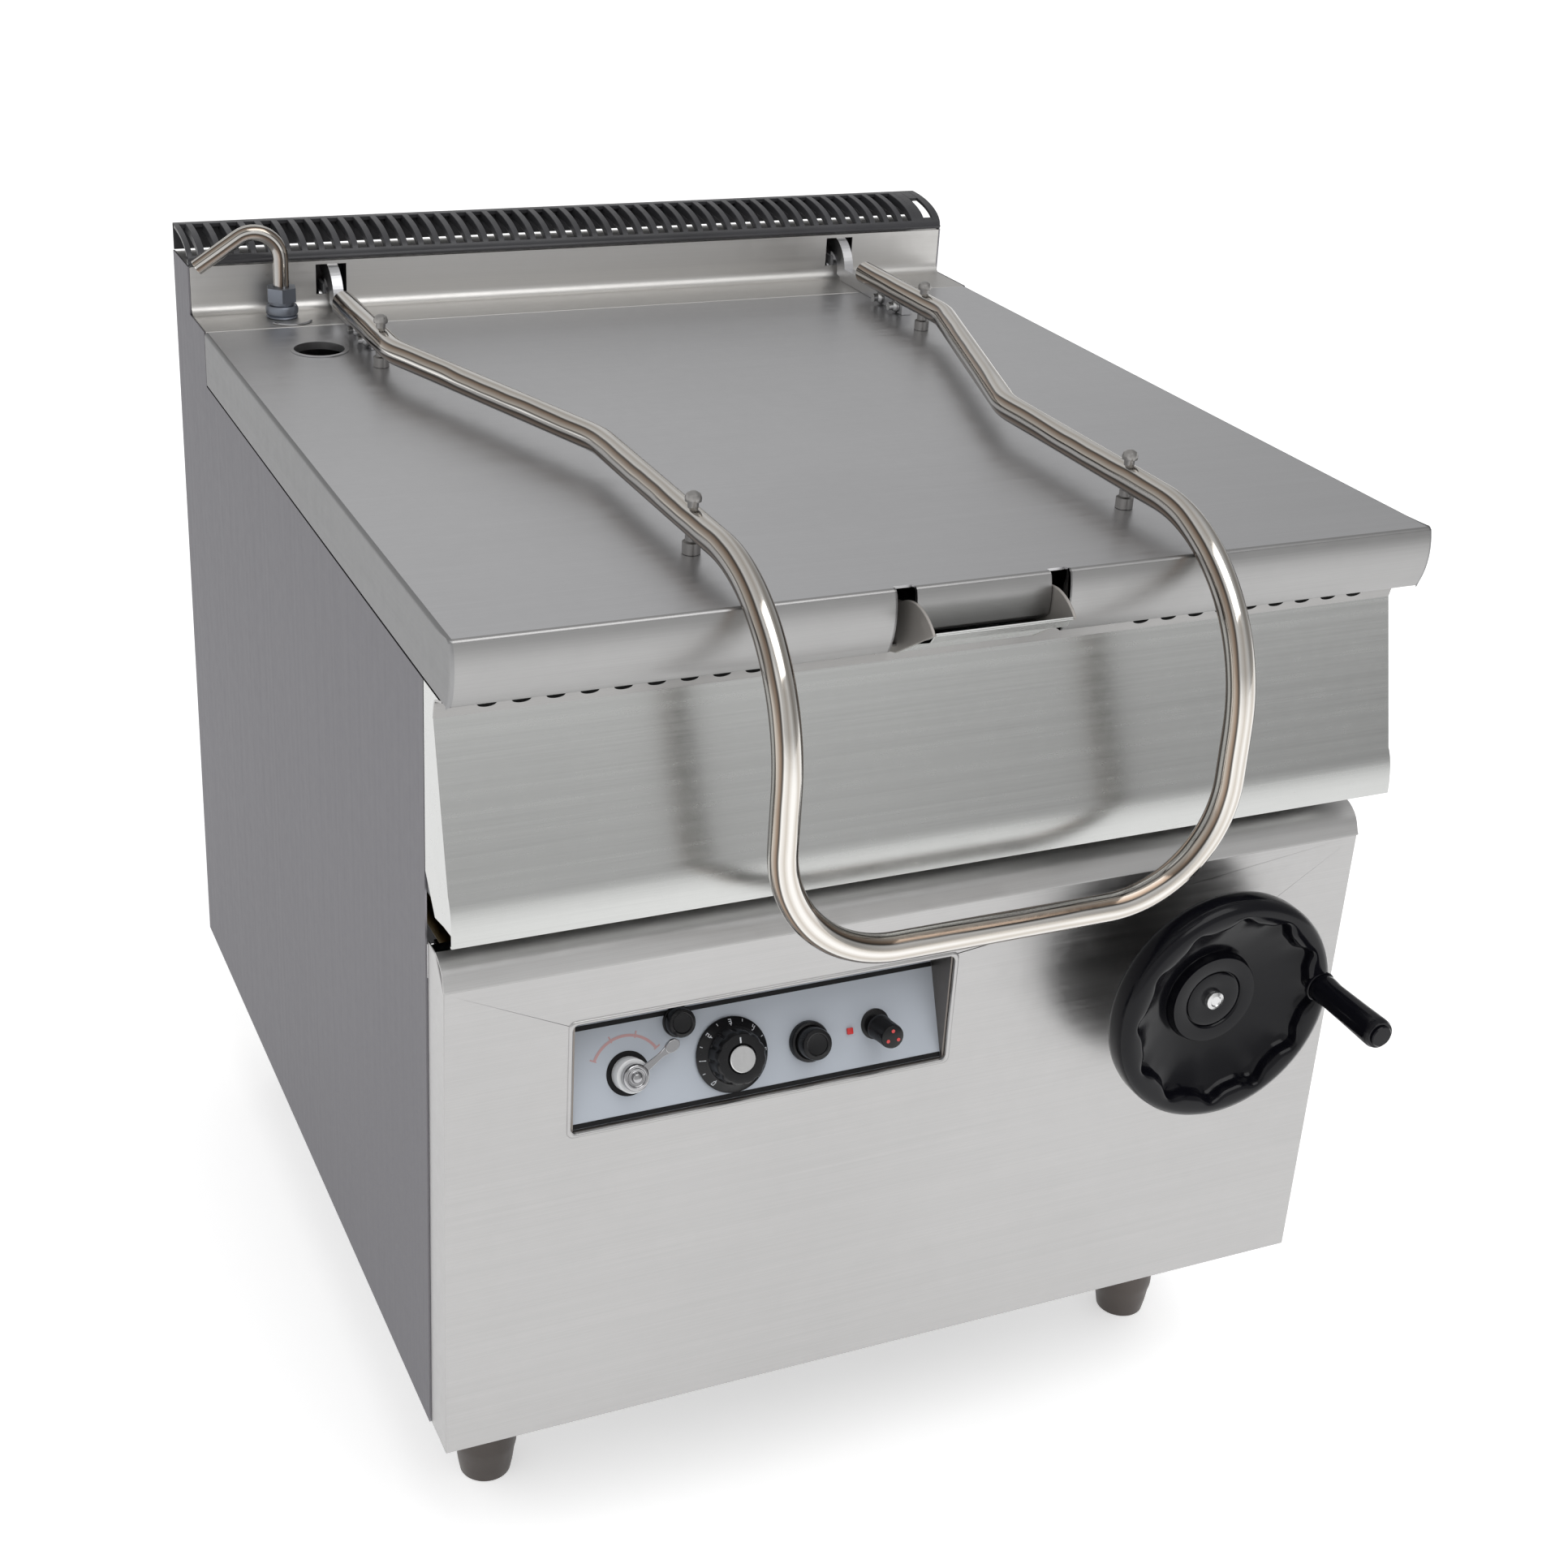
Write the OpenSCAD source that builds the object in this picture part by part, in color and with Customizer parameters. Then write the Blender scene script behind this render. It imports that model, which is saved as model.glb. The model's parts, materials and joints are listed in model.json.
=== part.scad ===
// Tilting bratt pan on a base frame, with a hinged lid and a handwheel tilt.
// X runs from the middle to the right, Y from front to back, Z up from the floor.
// Each sub-part is drawn with Y counted from the closed lid's front edge, then placed.

/* [Body] */
// Width over the side panels
body_w = 800; // [760:1:1000]
// Height of the closed lid's top above the floor
top_h = 850; // [840:1:900]
// Depth from the lid's front edge to the splash behind it
deck_d = 832; // [826:1:860]
// Depth of the flue riser behind the splash
riser_d = 68; // [64:1:80]
// Height of the flue grille's crown above the lid
riser_h = 72; // [70:1:90]
// Height of the flue grille's base above the lid
riser_base = 46; // [45:1:50]
// Thickness of the casing sheets
sheet = 1.5; // [1:0.1:2]
// Height of the side panels' lower edge above the floor
leg_h = 146; // [130:1:160]
// Distance of the front panel behind the lid's front edge
panel_set = 20; // [18:1:22]
// Depth of the recess beside the front panel
panel_return = 40; // [36:1:44]

/* [Lid] */
// Depth of the lid's skirts
lid_skirt = 50; // [46:1:52]
// Radius of the lid's rounded front
lid_nose_r = 16; // [12:1:20]
// Thickness of the lid's sheet
lid_t = 2; // [1.5:0.1:3]
// Diameter of the fill hole in the lid
fill_d = 45; // [36:1:50]

/* [Bow handle] */
// Outside diameter of the handle's tube
bow_d = 22; // [18:1:24]
// Height of the tube's middle above the lid
bow_rise = 25; // [24:1:28]
// Distance of the front arms in from the lid's sides
bow_front_in = 216; // [200:1:240]
// Distance of the rear arms in from the lid's sides
bow_rear_in = 128; // [122:1:135]
// Drop of the lower bar's middle below the lid's top
bow_drop = 246; // [230:1:256]
// Distance of the hanging loop in front of the lid's front edge
bow_reach = 75; // [70:1:80]

/* [Pan] */
// Distance of the pan's inside from the outside of each side panel
pan_side = 50; // [45:1:100]
// Depth of the pan from its front wall to its rear wall
pan_l = 490; // [440:1:495]
// Height of the pan's wall
pan_h = 200; // [180:1:205]
// Thickness of the pan's wall
pan_t = 3; // [2:0.1:4]
// Largest tilt of the pan, in degrees
pan_tilt = 70; // [40:1:70]

/* [Handwheel] */
// Diameter of the handwheel
wheel_d = 200; // [180:1:204]
// Distance of the handwheel's middle in from the right side
wheel_in = 160; // [150:1:170]
// Drop of the handwheel's middle below the lid's top
wheel_drop = 384; // [380:1:390]
// Length of the revolving grip
grip_l = 78; // [70:1:85]
// Diameter of the revolving grip
grip_d = 23; // [20:1:25]

/* [Controls] */
// Width of the control recess
recess_w = 320; // [310:1:340]
// Height of the control recess
recess_h = 97; // [92:1:102]
// Drop of the recess's upper edge below the lid's top
recess_drop = 327; // [323:1:333]
// Lean of the control plate, in degrees
plate_lean = 22; // [18:1:24]
// Diameter of the thermostat dial's skirt
dial_d = 60; // [52:1:62]

/* [Tap] */
// Height of the tap's bend above the lid's top
tap_h = 88; // [80:1:90]
// Diameter of the tap's tube
tap_d = 15; // [12:1:16]
// Reach of the tap's spout from its column
tap_reach = 78; // [70:1:80]

/* [Grille] */
// Distance from one grille slot to the next
slot_pitch = 16.4; // [14:0.1:20]
// Width of a grille slot
slot_w = 10; // [8:0.5:11]

/* [Feet] */
// Diameter of a foot
foot_d = 54; // [48:1:60]
// Distance of the feet's middles in from the side panels
foot_in = 76; // [70:1:90]
// Distance of the front feet's middles behind the lid's front edge
foot_front = 150; // [140:1:160]

/* [Hidden] */
$fn = 64;

// One overrun for every cut
cut = 2;
// Gap between faces of pieces that meet
seat = 0.3;
// Radial clearance of a shaft in its bore
run = 0.05;

// Overall lines
half_w = body_w / 2;
rear_y = deck_d + riser_d;
skirt_z = top_h - lid_skirt;
side_gap = 2;
side_top = skirt_z - side_gap;
side_front = panel_set + panel_return;

// Lid with its fill hole
strip_d = 64.5;
strip_gap = 1.5;
strip_turn = 20;
strip_front = deck_d - strip_d;
lid_rear = strip_front - strip_gap;
lid_nose = [lid_nose_r, top_h - lid_nose_r];
fill_in = 88;
fill_back = 145;
fill_x = -half_w + fill_in;
fill_y = deck_d - fill_back;
ring_t = 2;

// Lid hinge: its axis lies just behind the splash
hinge_back = 10;
hinge_up = 8;
hinge_y = deck_d + hinge_back;
hinge_z = top_h + hinge_up;
hinge_r = 5;
hub_r = 8;
hook_in_r = 17;
hook_out_r = 35;
hook_start_angle = 190;
hook_end_angle = 55;
hook_root_angle = 87;
arm_w = 10;
arm_off = 5;
arm_l = 168;
arm_h = bow_rise - bow_d / 2 - seat;
ear_w = 3;
ear_gap = 1;
ear_drop = 34;
ear_d = 20;
ear_head = 14;
slot_side = 6;
slot_far = 24;
slot_low = 6;
slot_high = 43;
splash_drop = 40;
bolt_r = 4;
bolt_head_r = 6.5;
bolt_head_h = 4.5;
bolt_rise = 7;
bolt_back = 112;
bolt_pitch = 34;
bolt_ys = [deck_d - bolt_back, deck_d - bolt_back - bolt_pitch];

// Bow handle
bow_r = bow_d / 2;
bow_z = top_h + bow_rise;
bow_front_x = half_w - bow_front_in;
bow_rear_x = half_w - bow_rear_in;
bow_back = 80;
bow_rear_y = deck_d - bow_back;
jog_back = 252;
jog_rear_y = deck_d - jog_back;
jog_front_y = 300;
bend_y = 58;
bend_r = bend_y + bow_reach;
corner_r = 95;
stud_front_y = 108;
stud_back = 210;
stud_rear_y = deck_d - stud_back;
stud_ats = [[bow_front_x, stud_front_y], [bow_rear_x, stud_rear_y]];
stud_r = 7;
dome_r = 8;

// Spout in the middle of the front
spout_w = 116;
spout_gap_w = 142;
flap_w = 110;
flap_drop = 32;
spout_out = 29;
spout_low = 46;
spout_lip = 25;
spout_t = 2;
cheek_r = 40;
cheek_top = 30;
cheek_angle = 100;

// Apron, as shares of its depth and height
apron_front = 9;
apron_rear = 37;
apron_drop = 228;
apron_t = 1.8;
apron_gap = 1.5;
apron_size = [apron_front + apron_rear, apron_drop - lid_skirt];
apron_shares = [[0.543, 0], [0.870, 0.045], [1, 0.124], [0.261, 0.798], [0.109, 0.848], [0, 1]];
vent_pitch = 25;
vent_l = 14;
vent_w = 6;
vent_in = 6;
vent_low = 18;
vent_count = floor((half_w - vent_pitch) / vent_pitch);

// Pan and its tilting axis
pan_w = body_w - 2 * pan_side;
pan_front = 62;
pan_r = 30;
pan_rim = 70;
pan_floor = 10;
rim_w = 8;
pan_top = top_h - pan_rim;
pan_bottom = pan_top - pan_h;
tilt_y = 30;
tilt_drop = 200;
tilt_z = top_h - tilt_drop;
trunnion_r = 15;
bearing_r = 26;
bearing_w = 10;
bearing_arm = 36;
bearing_x = half_w - sheet - seat - bearing_w;
plate_t = 5;
arm_plate_x = pan_w / 2 + pan_t + rim_w;
arm_run = 150;
arm_fall = 35;

// Front panel and control recess
nose_r = 19;
nose_angle = 100;
nose_drop = 261;
nose_top = top_h - nose_drop;
panel_foot = leg_h;
recess_in = 100;
recess_x0 = -half_w + recess_in;
recess_x1 = recess_x0 + recess_w;
recess_z = top_h - recess_drop - recess_h;
plate_set = 3.6;
plate_low_y = panel_set + plate_set;
plate_rise = recess_h * tan(plate_lean);
plate_back = sheet / cos(plate_lean);
cheek_front = panel_set + sheet + seat;

// Control positions: X from the recess's left edge, then the distance up the plate
boss_at = [52, 36.1];
button_at = [96.5, 69];
dial_at = [137.6, 35.6];
igniter_at = [203.6, 34.1];
lamp_at = [240, 35.7];
spindle_at = [262.7, 37.5];
boss_r = 15;
boss_h = 13;
lever_r = 10.5;
lever_h = 9;
lever_l = 42;
lever_w = 9;
lever_angle = 30;
button_r = 11.5;
button_h = 9;
button_travel = 3;
dial_r = dial_d / 2;
dial_skirt_h = 8;
knob_r = 22;
knob_h = 15;
cap_r = 10.5;
cap_h = 2;
igniter_cap_r = 13;
igniter_h = 12;
igniter_travel = 4;
igniter_body_r = 9;
igniter_body_l = 34;
lamp_w = 8;
lamp_h = 3;
spindle_r = 10;
spindle_h = 32;
spindle_travel = 4;
stem_r = 3;
stem_l = 14;

// Handwheel and its revolving grip
wheel_x = half_w - wheel_in;
wheel_z = top_h - wheel_drop;
wheel_r = wheel_d / 2;
rim_r = 14;
rim_y = -36;
hub_front = -28;
hub_rear = 8;
wheel_hub_r = 24;
wheel_plug = 16;
web_t = 6;
scallops = 12;
scallop_in = 16;
scallop_r = 14;
scallop_h = 14;
grip_at_r = 89;
grip_angle = 5;
grip_core_r = 5;
grip_cap = 2;
grip_r = grip_d / 2;
grip_shares = [0.5, 0.85];
grip_x = wheel_x + grip_at_r * cos(grip_angle);
grip_z = wheel_z + grip_at_r * sin(grip_angle);
grip_base = rim_y - rim_r - seat;
wheel_reach = grip_l + seat + grip_cap - grip_base;

// Tilting screw, nut and link: the link's far end swings with the pan's lug
screw_r = 11;
screw_end = 352;
thrust_r = 22;
thrust_t = 12;
lug_r = 130;
link_l = 200;
link_t = 14;
link_w = 30;
link_gap = 3;
pin_r = 7;
nut_w = 44;
nut_l = 36;
lug_y = panel_set + link_w / 2 + plate_t;
lug_z = tilt_z - lug_r;
pivot_z = wheel_z + nut_w / 2 + link_w / 2;
lug_turn = atan2(-lug_r, lug_y - tilt_y) + pan_tilt;
lug_far = norm([lug_y - tilt_y, lug_r]) * [cos(lug_turn), sin(lug_turn)] + [tilt_y, tilt_z];
nut_y = lug_y + sqrt(link_l * link_l - pow(lug_z - pivot_z, 2));
nut_far = lug_far[0] + sqrt(link_l * link_l - pow(lug_far[1] - pivot_z, 2));
link_rise = asin((lug_z - pivot_z) / link_l);
link_far = asin((lug_far[1] - pivot_z) / link_l);
echo(nut_y = nut_y, nut_travel = nut_far - nut_y, link_turn = link_far - link_rise);

// Tap on the rear strip
tap_in = 82;
tap_back = 27;
tap_x = -half_w + tap_in;
tap_y = deck_d - tap_back;
tap_hex = 26;
tap_body_h = 29;
tap_foot_r = 18;
tap_foot_h = 3;
tap_shank_r = 9;
tap_shank_l = 40;
tap_depth = 18;
tap_r = tap_d / 2;
tap_base_z = top_h + tap_body_h - tap_depth + 2 * seat;
tap_turn_angle = 172;
tap_bend_angle = 125;
tap_start_angle = 180;
tap_stop_angle = tap_start_angle - tap_bend_angle;
tap_bend_r = 24;
tap_bend_z = top_h + tap_h - tap_r - tap_bend_r;
tap_end = [tap_bend_r * (1 - cos(tap_bend_angle)), tap_bend_z + tap_bend_r * sin(tap_bend_angle)];
tap_fall = (tap_reach - tap_end[0]) / tan(tap_bend_angle);

// Gas and water pipes: their ends stand out behind the back panel
pipe_r = 9;
pipe_out = 22;
pipe_end_r = 10.5;
inlet_in = 250;
inlet_x = half_w - inlet_in;
inlet_z = 240;
front_y = -(rear_y + pipe_out - wheel_reach) / 2;

// Flue
flue_clear = 37;
flue_half = bow_rear_x - flue_clear;
flue_in = 8;
flue_front = deck_d + flue_in;
flue_rear = rear_y - flue_in;
flue_t = 1.5;
grille_t = 4;
grille_low = 4;
grille_z = top_h + riser_base;
slot_count = floor((half_w - slot_pitch) / slot_pitch);
hole_in = 60;
hole_half = half_w - hole_in;

// Frame and feet
tube_w = 30;
frame_z = leg_h + sheet + seat;
frame_front = 80;
frame_rear = rear_y - tube_w;
foot_r = foot_d / 2;
foot_back = 32;
foot_rear = deck_d - foot_back;
foot_cup = 34;
foot_neck_r = 22;
leg_r = 20;
foot_band = 8;

// Burner chamber
tray_drop = 100;
tray_back = 92;
tray_in = 70;
tray_clear = 35;
tray_t = 2;
tray_wall = 60;
tray_vent = 90;
tray_low = pan_bottom - tray_drop;
tray_front = 190;
tray_rear = deck_d - tray_back;
tray_left = -half_w + tray_in;
tray_right = wheel_x - tray_clear;
burner_r = 18;
burner_wall = 2;
burner_foot = 12;
burner_up = 42;
burner_in = 30;
burner_end = 15;
burner_z = tray_low + burner_up;
burner_lead = 70;
burner_trail = 120;
burner_pitch = (tray_rear - tray_front - burner_lead - burner_trail) / 3;
burner_ys = [for (i = [0 : 3]) tray_front + burner_lead + i * burner_pitch];
burner_left = tray_left + burner_in;
burner_right = tray_right - burner_end;
post_front = 230;
post_back = 132;
post_ys = [post_front, deck_d - post_back];
manifold_r = 11;
manifold_out = 15;
manifold_x = tray_left - manifold_out;
valve_y = 150;
valve_w = 50;
valve_h = 60;
pilot_in = 180;
pilot_x = tray_left + pilot_in;
pilot_y = (burner_ys[0] + burner_ys[1]) / 2;
pilot_h = 50;

module place() translate([0, front_y, 0]) children();

// A box between two corners
module block(low, high) translate(low) cube(high - low);

// A profile in Y and Z drawn out along X, between two X values
module along_x(x0, x1) translate([x0, 0, 0]) rotate([90, 0, 90]) linear_extrude(x1 - x0) children();

// A cylinder along X, Y or Z from a point
module bar_x(at, r, l) translate(at) rotate([0, 90, 0]) cylinder(r = r, h = l);
module bar_y(at, r, l) translate(at) rotate([-90, 0, 0]) cylinder(r = r, h = l);
module bar_z(at, r, l) translate(at) cylinder(r = r, h = l);

// A round bar from one point to another
module bar(a, b, r) {
    d = b - a;
    l = norm(d);
    translate(a) rotate([0, acos(d[2] / l), atan2(d[1], d[0])]) cylinder(r = r, h = l);
}

// Points of an arc
function arc(at, r, a0, a1, n = 12) = [
    for (i = [0 : n]) let (a = a0 + (a1 - a0) * i / n) [at[0] + r * cos(a), at[1] + r * sin(a)]
];

// A round tube along a path: each ring stands square to the path and is turned as little as possible
function unit(v) = v / norm(v);
function heading(p, i) = unit(p[min(i + 1, len(p) - 1)] - p[max(i - 1, 0)]);
function ring_axes(p, i, n) = i == len(p) ? [] : let (t = heading(p, i), m = unit(n - (n * t) * t))
    concat([[m, cross(t, m)]], ring_axes(p, i + 1, m));
module tube_path(p, r, first, sides = 16) {
    axes = ring_axes(p, 0, first);
    polyhedron(
        points = [for (i = [0 : len(p) - 1], j = [0 : sides - 1])
            p[i] + r * (cos(360 * j / sides) * axes[i][0] + sin(360 * j / sides) * axes[i][1])],
        faces = concat(
            [[for (j = [0 : sides - 1]) j]],
            [for (i = [0 : len(p) - 2], j = [0 : sides - 1]) let (k = (j + 1) % sides)
                [i * sides + j, (i + 1) * sides + j, (i + 1) * sides + k, i * sides + k]],
            [[for (j = [sides - 1 : -1 : 0]) (len(p) - 1) * sides + j]]
        ));
}

// A circular sector
module sector(r0, r1, a0, a1) polygon(concat(arc([0, 0], r1, a0, a1, 24), arc([0, 0], r0, a1, a0, 24)));

// Things on the leaning control plate: Z points out of it, Y runs up it
module on_plate(at) translate([recess_x0 + at[0], plate_low_y, recess_z])
    rotate([90 - plate_lean, 0, 0]) translate([0, at[1], 0]) children();

module base_frame() color("dimgray") place() difference() {
    union() {
        for (x = [-half_w + foot_in, tray_right - tube_w / 2, half_w - foot_in]) block(
            [x - tube_w / 2, frame_front, frame_z], [x + tube_w / 2, frame_rear, frame_z + tube_w]);
        for (y = [foot_front, foot_rear]) block(
            [-half_w + foot_in, y - tube_w / 2, frame_z],
            [half_w - foot_in, y + tube_w / 2, frame_z + tube_w]);
        for (x = [-half_w + foot_in, half_w - foot_in], y = [foot_front, foot_rear])
            bar_z([x, y, frame_z], foot_r, tube_w);
        for (x = [-half_w + foot_in, tray_right - tube_w / 2], y = post_ys)
            block([x - tube_w / 2, y - tube_w / 2, frame_z],
                [x + tube_w / 2, y + tube_w / 2, tray_low - seat]);
        block([tray_right - tube_w, screw_end, frame_z], [tray_right, screw_end + tube_w, tray_low - seat]);
    }
    for (x = [-half_w + foot_in, half_w - foot_in], y = [foot_front, foot_rear])
        bar_z([x, y, frame_z - cut], leg_r + run, tube_w + 2 * cut);
}

module foot(x, y) color([0.3, 0.26, 0.24]) place() {
    bar_z([x, y, 0], foot_r, foot_cup);
    bar_z([x, y, foot_cup], foot_neck_r, leg_h - foot_cup - seat);
    bar_z([x, y, leg_h - foot_band - seat], foot_r - foot_band / 2, foot_band);
    bar_z([x, y, leg_h - foot_band], leg_r, tube_w);
}
module front_left_foot() foot(-half_w + foot_in, foot_front);
module front_right_foot() foot(half_w - foot_in, foot_front);
module rear_left_foot() foot(-half_w + foot_in, foot_rear);
module rear_right_foot() foot(half_w - foot_in, foot_rear);

// Outline of a side panel: it rises beside the rear strip and the riser
module side_outline() polygon([
    [side_front, panel_foot], [rear_y, panel_foot], [rear_y, grille_z - seat],
    [deck_d, grille_z - seat], [deck_d, top_h], [strip_front, top_h], [strip_front, side_top],
    [side_front, side_top]
]);
module side_panel(side) color([0.5, 0.5, 0.53]) place() mirror([side < 0 ? 1 : 0, 0, 0]) difference() {
    union() {
        along_x(half_w - sheet, half_w) side_outline();
        block([half_w - tube_w, side_front, panel_foot],
            [half_w - sheet, side_front + sheet, nose_top - tube_w]);
        block([half_w - foot_in - tube_w / 2, side_front + sheet, panel_foot],
            [half_w - sheet, frame_rear, panel_foot + sheet]);
    }
    for (y = [foot_front, foot_rear])
        bar_z([half_w - foot_in, y, panel_foot - cut], leg_r + seat, sheet + 2 * cut);
}
module left_side_panel() side_panel(-1);
module right_side_panel() side_panel(1);

module back_panel() color([0.55, 0.55, 0.57]) place() difference() {
    block([-half_w + sheet + seat, rear_y - sheet, panel_foot],
        [half_w - sheet - seat, rear_y, grille_z - sheet - seat]);
    bar_y([inlet_x, rear_y - sheet - cut, inlet_z], pipe_r + run, sheet + 2 * cut);
    bar_y([tap_x, rear_y - sheet - cut, inlet_z], pipe_r + run, sheet + 2 * cut);
}

// Front panel: rounded top nosing, flat face and returns at the sides and the foot
module front_profile() polygon(concat(
    [[panel_set, panel_foot], [panel_set, nose_top - nose_r]],
    arc([panel_set + nose_r, nose_top - nose_r], nose_r, 180, nose_angle),
    [[panel_set + nose_r, nose_top - sheet]],
    arc([panel_set + nose_r, nose_top - nose_r], nose_r - sheet, nose_angle, 180),
    [[panel_set + sheet, panel_foot]]
));
module front_panel() color([0.78, 0.78, 0.79]) place() difference() {
    union() {
        along_x(-half_w + sheet, half_w - sheet) front_profile();
        for (x = [-half_w + sheet, half_w - 2 * sheet])
            block([x, panel_set, panel_foot], [x + sheet, side_front - seat, nose_top - nose_r]);
        block([-half_w + sheet, panel_set, panel_foot],
            [half_w - sheet, side_front - seat, panel_foot + sheet]);
    }
    block([recess_x0, panel_set - cut, recess_z], [recess_x1, panel_set + cut, recess_z + recess_h]);
    bar_y([wheel_x, panel_set - cut, wheel_z], screw_r + seat, 2 * cut);
}

// A box behind the recess's opening, whose rear wall leans back
module control_plate() color([0.86, 0.9, 0.95]) place() difference() {
    along_x(recess_x0 - sheet, recess_x1 + sheet) polygon([
        [cheek_front, recess_z - sheet], [plate_low_y + plate_back, recess_z - sheet],
        [plate_low_y + plate_back, recess_z], [plate_low_y + plate_rise + plate_back, recess_z + recess_h],
        [plate_low_y + plate_rise + plate_back, recess_z + recess_h + sheet],
        [cheek_front, recess_z + recess_h + sheet]
    ]);
    along_x(recess_x0, recess_x1) polygon([
        [cheek_front - cut, recess_z], [plate_low_y, recess_z],
        [plate_low_y + plate_rise, recess_z + recess_h], [cheek_front - cut, recess_z + recess_h]
    ]);
    on_plate(boss_at) bar_z([0, 0, -cut * 2], stem_r + run, 4 * cut);
    on_plate(button_at) bar_z([0, 0, -cut * 2], stem_r + run, 4 * cut);
    on_plate(dial_at) bar_z([0, 0, -cut * 2], stem_r + run, 4 * cut);
    on_plate(igniter_at) bar_z([0, 0, -cut * 2], stem_r + run, 4 * cut);
    on_plate(spindle_at) bar_z([0, 0, -cut * 2], stem_r + run, 4 * cut);
}

module rear_casing() color([0.72, 0.72, 0.71]) place() difference() {
    union() {
        block([-half_w + sheet + seat, deck_d, top_h - splash_drop],
            [half_w - sheet - seat, deck_d + sheet, grille_z - sheet]);
        block([-half_w + sheet + seat, strip_front, top_h - sheet], [half_w - sheet - seat, deck_d, top_h]);
        block([-half_w + sheet + seat, strip_front, top_h - strip_turn],
            [half_w - sheet - seat, strip_front + sheet, top_h]);
        block([-half_w + sheet + seat, deck_d, grille_z - 2 * sheet],
            [half_w - sheet - seat, rear_y - sheet - seat, grille_z - sheet]);
    }
    for (s = [-1, 1]) block([s * bow_rear_x - slot_side, deck_d - cut, top_h + slot_low],
        [s * bow_rear_x + slot_far, deck_d + cut, top_h + slot_high]);
    block([-hole_half, flue_front + flue_t, grille_z - 2 * sheet - cut],
        [hole_half, flue_rear - flue_t, grille_z + cut]);
    bar_z([tap_x, tap_y, top_h - sheet - cut], tap_shank_r + seat, sheet + 2 * cut);
}

// Flue grille: a quarter-round cap, cut by slots, with a row of small holes below them
module flue_grille() color([0.2, 0.2, 0.21]) place() difference() {
    along_x(-half_w + seat, half_w - seat) difference() {
        grille_outline(0);
        grille_outline(grille_t);
    }
    for (i = [-slot_count : slot_count]) translate([i * slot_pitch, 0, 0]) block(
        [-slot_w / 2, deck_d + grille_t + slot_side, grille_z + grille_low + grille_t],
        [slot_w / 2, rear_y - grille_t - cut, grille_z + riser_h]);
}
// A quarter ellipse, drawn in by a wall
module grille_outline(wall) polygon(concat(
    [[rear_y - wall, grille_z - (wall > 0 ? cut : 0)]],
    [for (i = [0 : 10]) let (a = 90 * i / 10) [
        rear_y - wall - (riser_d - 2 * wall) * sin(a),
        grille_z + grille_low - wall / 2 + (riser_h - riser_base - grille_low - wall / 2) * cos(a)
    ]],
    [[deck_d + wall, grille_z - (wall > 0 ? cut : 0)]]
));

module flue_duct() color([0.45, 0.45, 0.46]) place() difference() {
    block([-flue_half, flue_front, tray_low + tray_wall],
        [flue_half, flue_rear, grille_z - 2 * sheet - seat]);
    block([-flue_half + flue_t, flue_front + flue_t, tray_low],
        [flue_half - flue_t, flue_rear - flue_t, grille_z]);
}

module combustion_tray() color([0.5, 0.48, 0.45]) place() difference() {
    block([tray_left, tray_front, tray_low], [tray_right, tray_rear, tray_low + tray_wall]);
    block([tray_left + tray_t, tray_front + tray_t, tray_low + tray_t],
        [tray_right - tray_t, tray_rear - tray_t, tray_low + tray_wall + cut]);
    for (y = burner_ys) {
        block([-tray_vent, y - burner_r, tray_low - cut], [tray_vent, y + burner_r, tray_low + tray_t + cut]);
        bar_x([tray_left - cut, y, burner_z], stem_r + seat, tray_t + 2 * cut);
    }
}

module burner_tubes() color([0.6, 0.6, 0.58]) place() for (y = burner_ys) difference() {
    union() {
        bar_x([burner_left, y, burner_z], burner_r, burner_right - burner_left);
        for (x = [burner_left + burner_foot, burner_right - 2 * burner_foot])
            block([x, y - burner_r, tray_low + tray_t + seat], [x + burner_foot, y + burner_r, burner_z]);
    }
    bar_x([burner_left + burner_wall, y, burner_z], burner_r - burner_wall, burner_right - burner_left);
}

// Gas pipe across the front of the burners, with a branch to each
module gas_manifold() color("goldenrod") place() {
    bar_y([manifold_x, valve_y, burner_z], manifold_r, burner_ys[len(burner_ys) - 1] + manifold_r - valve_y);
    for (y = burner_ys) bar_x([manifold_x, y, burner_z], stem_r, burner_left - manifold_x - seat);
}
module gas_valve() color("silver") place() {
    block([manifold_x - valve_w / 2, valve_y - valve_w, burner_z - valve_h],
        [manifold_x + valve_w / 2, valve_y - seat, burner_z + manifold_r]);
}

// The wider end of a pipe behind the back panel
module pipe_end(x) bar_y([x, rear_y + seat, inlet_z], pipe_end_r, pipe_out - seat);

// Gas inlet: a pipe from the frame's rear cross tube out through the back panel
module gas_inlet() color("goldenrod") place() {
    bar_y([inlet_x, foot_rear + tube_w / 2, inlet_z], pipe_r, rear_y + pipe_out - foot_rear - tube_w / 2);
    pipe_end(inlet_x);
    block([inlet_x - pipe_r, foot_rear - tube_w / 2, frame_z + tube_w + seat],
        [inlet_x + pipe_r, foot_rear + tube_w / 2, inlet_z + pipe_r]);
}

module igniter_body() color("white") place() on_plate(igniter_at) difference() {
    bar_z([0, 0, -igniter_body_l - sheet - seat], igniter_body_r, igniter_body_l);
    bar_z([0, 0, -stem_l - sheet], stem_r + run, stem_l + cut);
}

module pilot_burner() color("silver") place() {
    bar_z([pilot_x, pilot_y, tray_low + tray_t + seat], stem_r, pilot_h);
    bar_z([pilot_x, pilot_y, tray_low + tray_t + seat], igniter_body_r, stem_r);
}

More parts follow.
